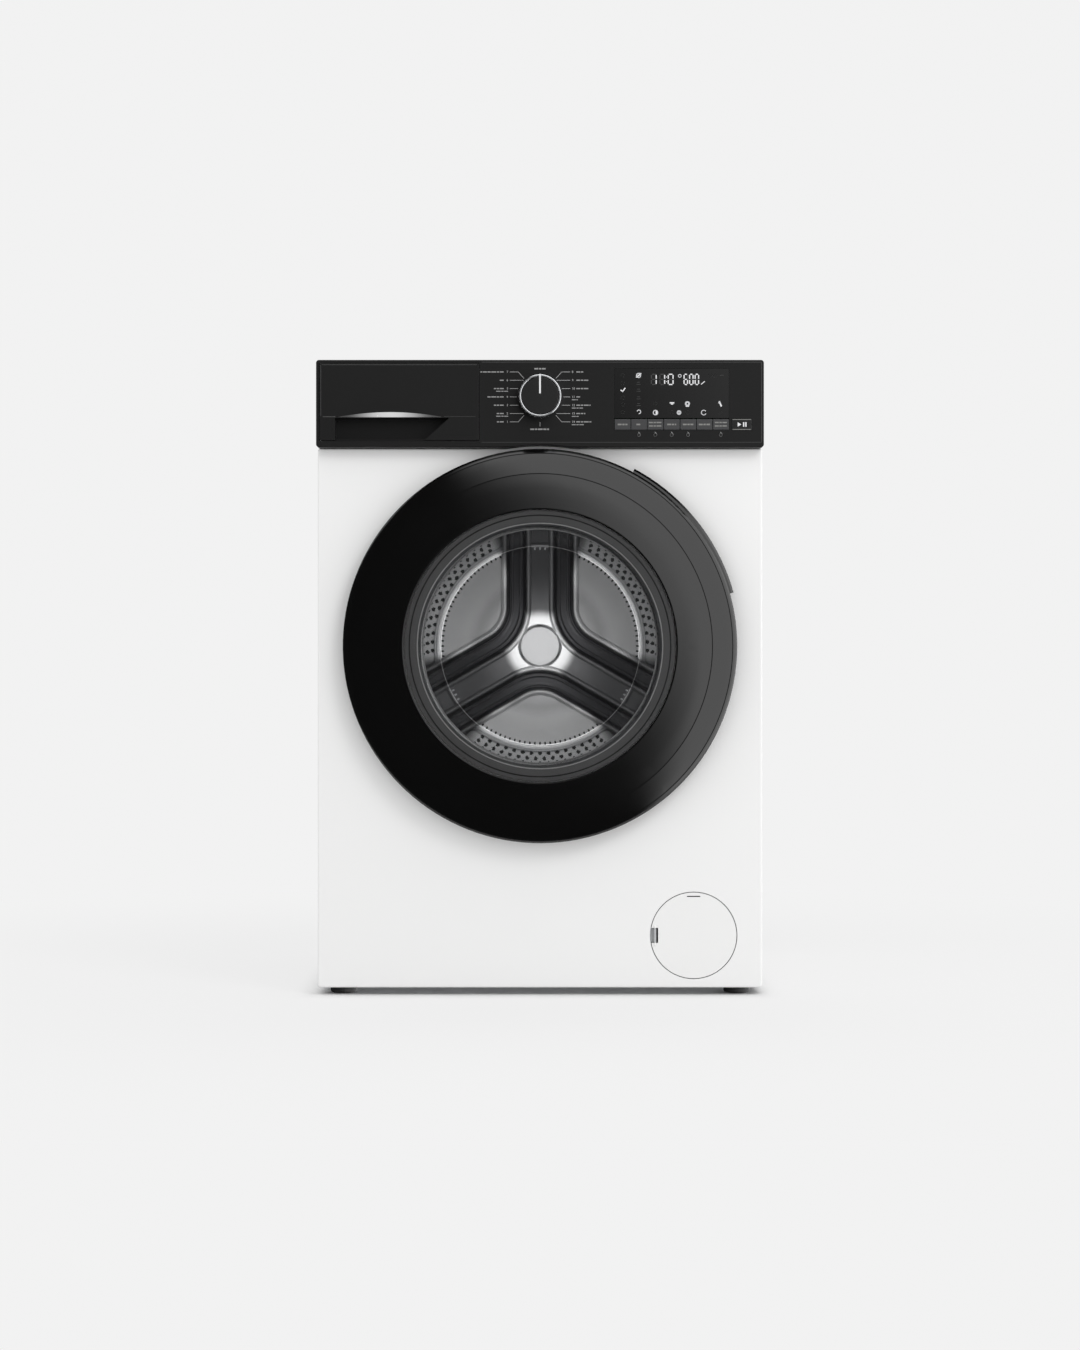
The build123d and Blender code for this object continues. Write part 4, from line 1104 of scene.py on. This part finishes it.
def digit(character, x, z, width, height, thick):
    """Lit and unlit segment outlines of a seven-segment digit centred on x, z."""
    half_x, half_z = width / 2, height / 2
    places = {
        "a": ((-half_x, half_z), (half_x, half_z)),
        "b": ((half_x, half_z), (half_x, 0)),
        "c": ((half_x, 0), (half_x, -half_z)),
        "d": ((-half_x, -half_z), (half_x, -half_z)),
        "e": ((-half_x, 0), (-half_x, -half_z)),
        "f": ((-half_x, half_z), (-half_x, 0)),
        "g": ((-half_x, 0), (half_x, 0)),
    }
    lit, unlit = [], []
    for segment, (first, last) in places.items():
        shrink = 0.9
        run = Vector((last[0] - first[0], last[1] - first[1]))
        trim = run.normalized() * shrink * thick / 2
        begin = (x + first[0] + trim.x, z + first[1] + trim.y)
        end = (x + last[0] - trim.x, z + last[1] - trim.y)
        middle = ((begin[0] + end[0]) / 2, (begin[1] + end[1]) / 2)
        length = hypot(end[0] - begin[0], end[1] - begin[1])
        angle = 90 if abs(run.x) < 1e-6 else 0
        outline = bar(middle[0], middle[1], length - 0.35, thick, angle)
        (lit if segment in segments_on[character] else unlit).append(outline)
    return lit, unlit


lit_bars, unlit_bars = [], []
for character, x, width in (
    ("1", 151.9, 6.4), ("1", 163.2, 6.4), ("0", 174.4, 6.4),
    ("6", 194.6, 4.6), ("0", 202.0, 4.6), ("0", 209.4, 4.6),
):
    lit, unlit = digit(character, x, 823.9, width, 13.6, 1.5)
    lit_bars += lit
    unlit_bars += unlit
lit_bars += [bar(169.0, 827, 1.1, 1.1), bar(169.0, 821, 1.1, 1.1)]
lit_bars += hoop(186.6, 828.6, 1.9, 0.9)
lit_bars += [stroke((215.5, 817.6), (219.5, 821.0), 1.1)]
icons_lit = hoop(131.6, 829.2, 2.7, 1.3) + [stroke((129, 827), (134.5, 831.5), 1.6)]
icons_lit += [stroke((108.2, 809.4), (110.4, 807.8), 1.5), stroke((110.4, 807.8), (113.4, 812.0), 1.5)]
icons_lit += hoop(132.0, 780.6, 2.4, 1.1, -80, 150)
icons_lit += hoop(154.2, 779.6, 3.0, 1.2) + [bar(155.4, 779.6, 2.0, 4.4)]
icons_lit += [bar(176.2, 792.6, 6.0, 1.7), bar(176.2, 790.9, 3.0, 1.2)]
icons_lit += hoop(196.8, 791.4, 2.2, 2.0) + [bar(196.8, 788.0, 4.4, 1.2)]
icons_lit += hoop(185.6, 779.6, 2.3, 1.3) + [bar(185.6, 779.6, 1.2, 5.2)]
icons_lit += hoop(218.6, 779.6, 3.2, 0.9, 40, 330)
icons_lit += [stroke((239.6, 793.8), (241.8, 788.6), 2.0), bar(239.8, 792.6, 2.6, 2.6, 45)]
icons_dim = []
for z in (829.2, 818.9, 799.4, 790.4, 780.0):
    icons_dim += hoop(110.6, z, 2.3, 0.7, 20, 300)
for z in (818.9, 809.7, 799.4, 790.4):
    icons_dim += [bar(131.6, z - 1.6, 5.6, 0.7), bar(131.6, z + 1.2, 3.6, 0.7)]
for x, z in ((154.2, 791.4), (176.2, 779.8), (196.8, 779.8), (240.6, 779.4), (227, 829.2), (233, 829.0)):
    icons_dim += hoop(x, z, 2.3, 0.6, 0, 360)
icons_dim += [bar(242.5, 829.4, 5.0, 0.7)]
printed("display_digits", lit_bars, display_y, glowing_white, "cabinet")
printed("display_icons", icons_lit, display_y, glowing_white, "cabinet")
unlit_ink = Finish("unlit_segment")
unlit_ink.shader(base_color=(0.030,) * 3, roughness=0.4 + unlit_ink.grain(0.003) * 0.1)
printed("display_unlit", unlit_bars + icons_dim, display_y, unlit_ink, "cabinet")
print("display marks", len(lit_bars) + len(icons_lit) + len(unlit_bars) + len(icons_dim))

# %% Key labels and symbols
key_centre = {}
for key, length, lines_high in (
    ("temperature", 13, 1), ("spin", 7, 1), ("delay", 17, 2), ("prewash", 12, 1),
    ("rinse", 14, 1), ("steam", 15, 1),
    ("remote", 16, 2),
):
    low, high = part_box(key + "_key")
    x, z = (low.x + high.x) / 2 / mm, (low.z + high.z) / 2 / mm
    key_centre[key] = x
    rows_here = [words(x - length / 2, z, length, 2.0)] if lines_high == 1 else [
        words(x - length / 2, z + 2.6, length, 1.6),
        words(x - length / 2, z - 2.0, length, 1.6),
    ]
    printed(key + "_label", sum(rows_here, []), low.y, ink_key, key + "_key")
symbols = []
for key in ("spin", "delay", "prewash", "rinse", "remote"):
    x = key_centre[key]
    symbols += hoop(x, 749.8, 2.0, 0.8, 60, 400)
    symbols += [stroke((x - 0.4, 753.4), (x + 1.4, 751.6), 0.8)]
printed("key_symbols", symbols, fascia_y, ink_mid, "cabinet")
start_low, start_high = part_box("start_key")
start_x, start_z = (start_low.x + start_high.x) / 2 / mm, (start_low.z + start_high.z) / 2 / mm
start_face = slab(bar(start_x, start_z, 24.6, 12.2), start_low.y - 0.00008, 0.00008)
joined("start_key_face", [start_face], display_black, "start_key")
start_lines = [bar(start_x, start_z + 6.6, 25.0, 0.8), bar(start_x, start_z - 6.6, 25.0, 0.8)]
printed("start_key_lines", start_lines, start_low.y, ink_key, "start_key")
play = [((start_x - 5.6) * mm, (start_z - 3.0) * mm), ((start_x - 0.8) * mm, start_z * mm)]
play += [((start_x - 5.6) * mm, (start_z + 3.0) * mm)]
pause = [bar(start_x + 2.4, start_z, 1.7, 6.0), bar(start_x + 5.4, start_z, 1.7, 6.0)]
glyphs = [slab(outline, start_low.y - 0.0002, 0.00012) for outline in [play] + pause]
joined("start_key_symbols", glyphs, glowing_white, "start_key")
print("keys labelled", len(key_centre) + 1)

# %% Painted highlight lines on the fascia and the drawer, and painted shade at the filter flap
# These thin bright lines are painted highlights along the edges and bevels of the fascia and the drawer
# front.
edge_painted_highlight = Finish("fascia_painted_highlight")
edge_painted_highlight.shader(base_color=(0.050,) * 3, roughness=0.45 + edge_painted_highlight.grain(0.004) * 0.1)
high_x = fascia_high.x / mm - 3.2
fascia_painted_highlights = [bar(108.8, 846.9, 373.6, 0.6), bar(high_x, 793.4, 0.6, 107)]
fascia_painted_highlights += [bar(108.8, 739.9, 373.6, 0.5)]
printed("fascia_edge_painted_highlights", fascia_painted_highlights, fascia_y, edge_painted_highlight, "cabinet")
drawer_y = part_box("drawer_front")[0].y
drawer_painted_highlights = [bar(-187.6, 843.4, 207, 0.6), bar(-292.6, 809, 0.6, 68), bar(-281.5, 774.0, 17, 1.0)]
drawer_painted_highlights += [bar(-107, 774.2, 42, 0.35)]
printed("drawer_edge_painted_highlights", drawer_painted_highlights, drawer_y, edge_painted_highlight, "drawer")
flap_low, flap_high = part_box("filter_flap")
flap_radius = (flap_high.z - flap_low.z) / 2 / mm
flap_x, flap_z = flap_high.x / mm - flap_radius, (flap_low.z + flap_high.z) / 2 / mm
# The dark bar at the top of the filter flap is painted shade, standing for the shadow in the slot there.
slot_painted_shade = slab(bar(flap_x, flap_z + 52.25, 17.8, 1.3), panel_y + 0.0007, 0.0004)
joined("flap_slot_painted_shade", [slot_painted_shade], mark_black, "flap")
print("edge lines", len(fascia_painted_highlights) + len(drawer_painted_highlights))

# %% [markdown]
# The studio is plain. The floor is a pale disc that melts into a pale dome, so no horizon shows. Polished
# black plastic only looks like plastic when it has something to reflect, so the world behind the dome is
# bright at the upper right and dark at the left and below, and reflections see that instead of the dome.

# %% Studio
backdrop = 0.887


def glowing(name, colour, strength):
    made = Finish(name)
    emitted = made.node("Emission", {}, {"Color": colour, "Strength": strength})
    made.show(emitted.outputs[0])
    return made


dome_mesh = bpy.data.meshes.new("studio_dome")
working = bmesh.new()
bmesh.ops.create_uvsphere(working, u_segments=48, v_segments=24, radius=20.0)
working.to_mesh(dome_mesh)
working.free()
dome = bpy.data.objects.new("studio_dome", dome_mesh)
scene.collection.objects.link(dome)
dome.data.materials.append(glowing("studio_dome", (backdrop,) * 3, 1.0).material)
dome.visible_glossy = False

floor_finish = Finish("studio_floor")
floor_place = floor_finish.node("SeparateXYZ", {}, {0: floor_finish.where()})
across_floor = Value(floor_finish, floor_place.outputs["X"])
across_floor = across_floor.math("ABSOLUTE", across_floor, 0.0)
along_floor = Value(floor_finish, floor_place.outputs["Y"])
along_floor = along_floor.math("ABSOLUTE", along_floor, 0.0)
across_floor = across_floor.math("MAXIMUM", across_floor - 0.285, 0.0)
along_floor = along_floor.math("MAXIMUM", along_floor - 0.255, 0.0)
from_machine = (across_floor * across_floor + along_floor * along_floor) ** 0.5
near_share = floor_finish.fade(from_machine, 0.0, 0.05, 0.0, 0.72)
far_share = floor_finish.fade(from_machine, 0.1, 1.2, 0.0, 0.28)
floor_paint = floor_finish.node(
    "BsdfPrincipled", {}, {"Base Color": (0.87, 0.87, 0.87), "Roughness": 0.6, "Specular IOR Level": 0.0}
)
floor_light = floor_finish.node("Emission", {}, {"Color": (backdrop,) * 3, "Strength": 1.0})
floor_layers = {0: near_share + far_share, 1: floor_paint.outputs[0], 2: floor_light.outputs[0]}
floor_mixed = floor_finish.node("MixShader", {}, floor_layers)
floor_finish.show(floor_mixed.outputs[0])
floor_mesh = bpy.data.meshes.new("studio_floor")
working = bmesh.new()
bmesh.ops.create_circle(working, cap_ends=True, cap_tris=True, segments=128, radius=19.9)
working.to_mesh(floor_mesh)
working.free()
floor = bpy.data.objects.new("studio_floor", floor_mesh)
scene.collection.objects.link(floor)
floor.data.materials.append(floor_finish.material)
floor.location.z = cad_low.z - 0.0002
floor.visible_glossy = False
print("studio radius", 20.0)

# %% World seen only in reflections
world = bpy.data.worlds.new("studio_reflections")
scene.world = world
world.use_nodes = True
sky = Finish("studio_sky", world.node_tree)
direction = sky.node("SeparateXYZ", {}, {0: sky.node("TexCoord").outputs["Generated"]})
across = Value(sky, direction.outputs["X"])
upward = Value(sky, direction.outputs["Z"])
towards_light = across * 0.87 + upward * 0.50
level = sky.fade(towards_light, 0.00, 0.26, 0.04, 2.0)
backing = sky.node("Background", {}, {"Color": (1.0, 1.0, 1.0), "Strength": level})
world_output = sky.node("OutputWorld")
sky.tree.links.new(backing.outputs[0], world_output.inputs["Surface"])
world.cycles.sampling_method = "NONE"
print("world ready")


# %% Lights
def area_light(name, size, power, place, target, in_reflections=False):
    data = bpy.data.lights.new(name, "AREA")
    data.shape = "DISK"
    data.size = size
    data.energy = power
    lamp = bpy.data.objects.new(name, data)
    scene.collection.objects.link(lamp)
    lamp.location = place
    lamp.rotation_euler = (Vector(target) - Vector(place)).to_track_quat("-Z", "Y").to_euler()
    lamp.visible_camera = False
    lamp.visible_glossy = in_reflections
    return lamp


area_light("key_light", 1.4, 24, (1.6, -2.6, 2.6), (0, 0, 0.5))
area_light("drum_light", 0.20, 0.5, (0.03, -0.13, axis_z + 0.05), (0, 0.15, axis_z))
# The steel shows only what it reflects, so two small lamps near the door are seen in its reflections.
area_light("drum_glow", 0.27, 0.26, (0, -0.140, axis_z - 0.01), (0, 0.15, axis_z), True)
area_light("hub_glow", 0.12, 0.075, (0, -0.138, axis_z + 0.006), (0, 0.15, axis_z), True)
scene.view_settings.view_transform = "Standard"
print("lights", 4)
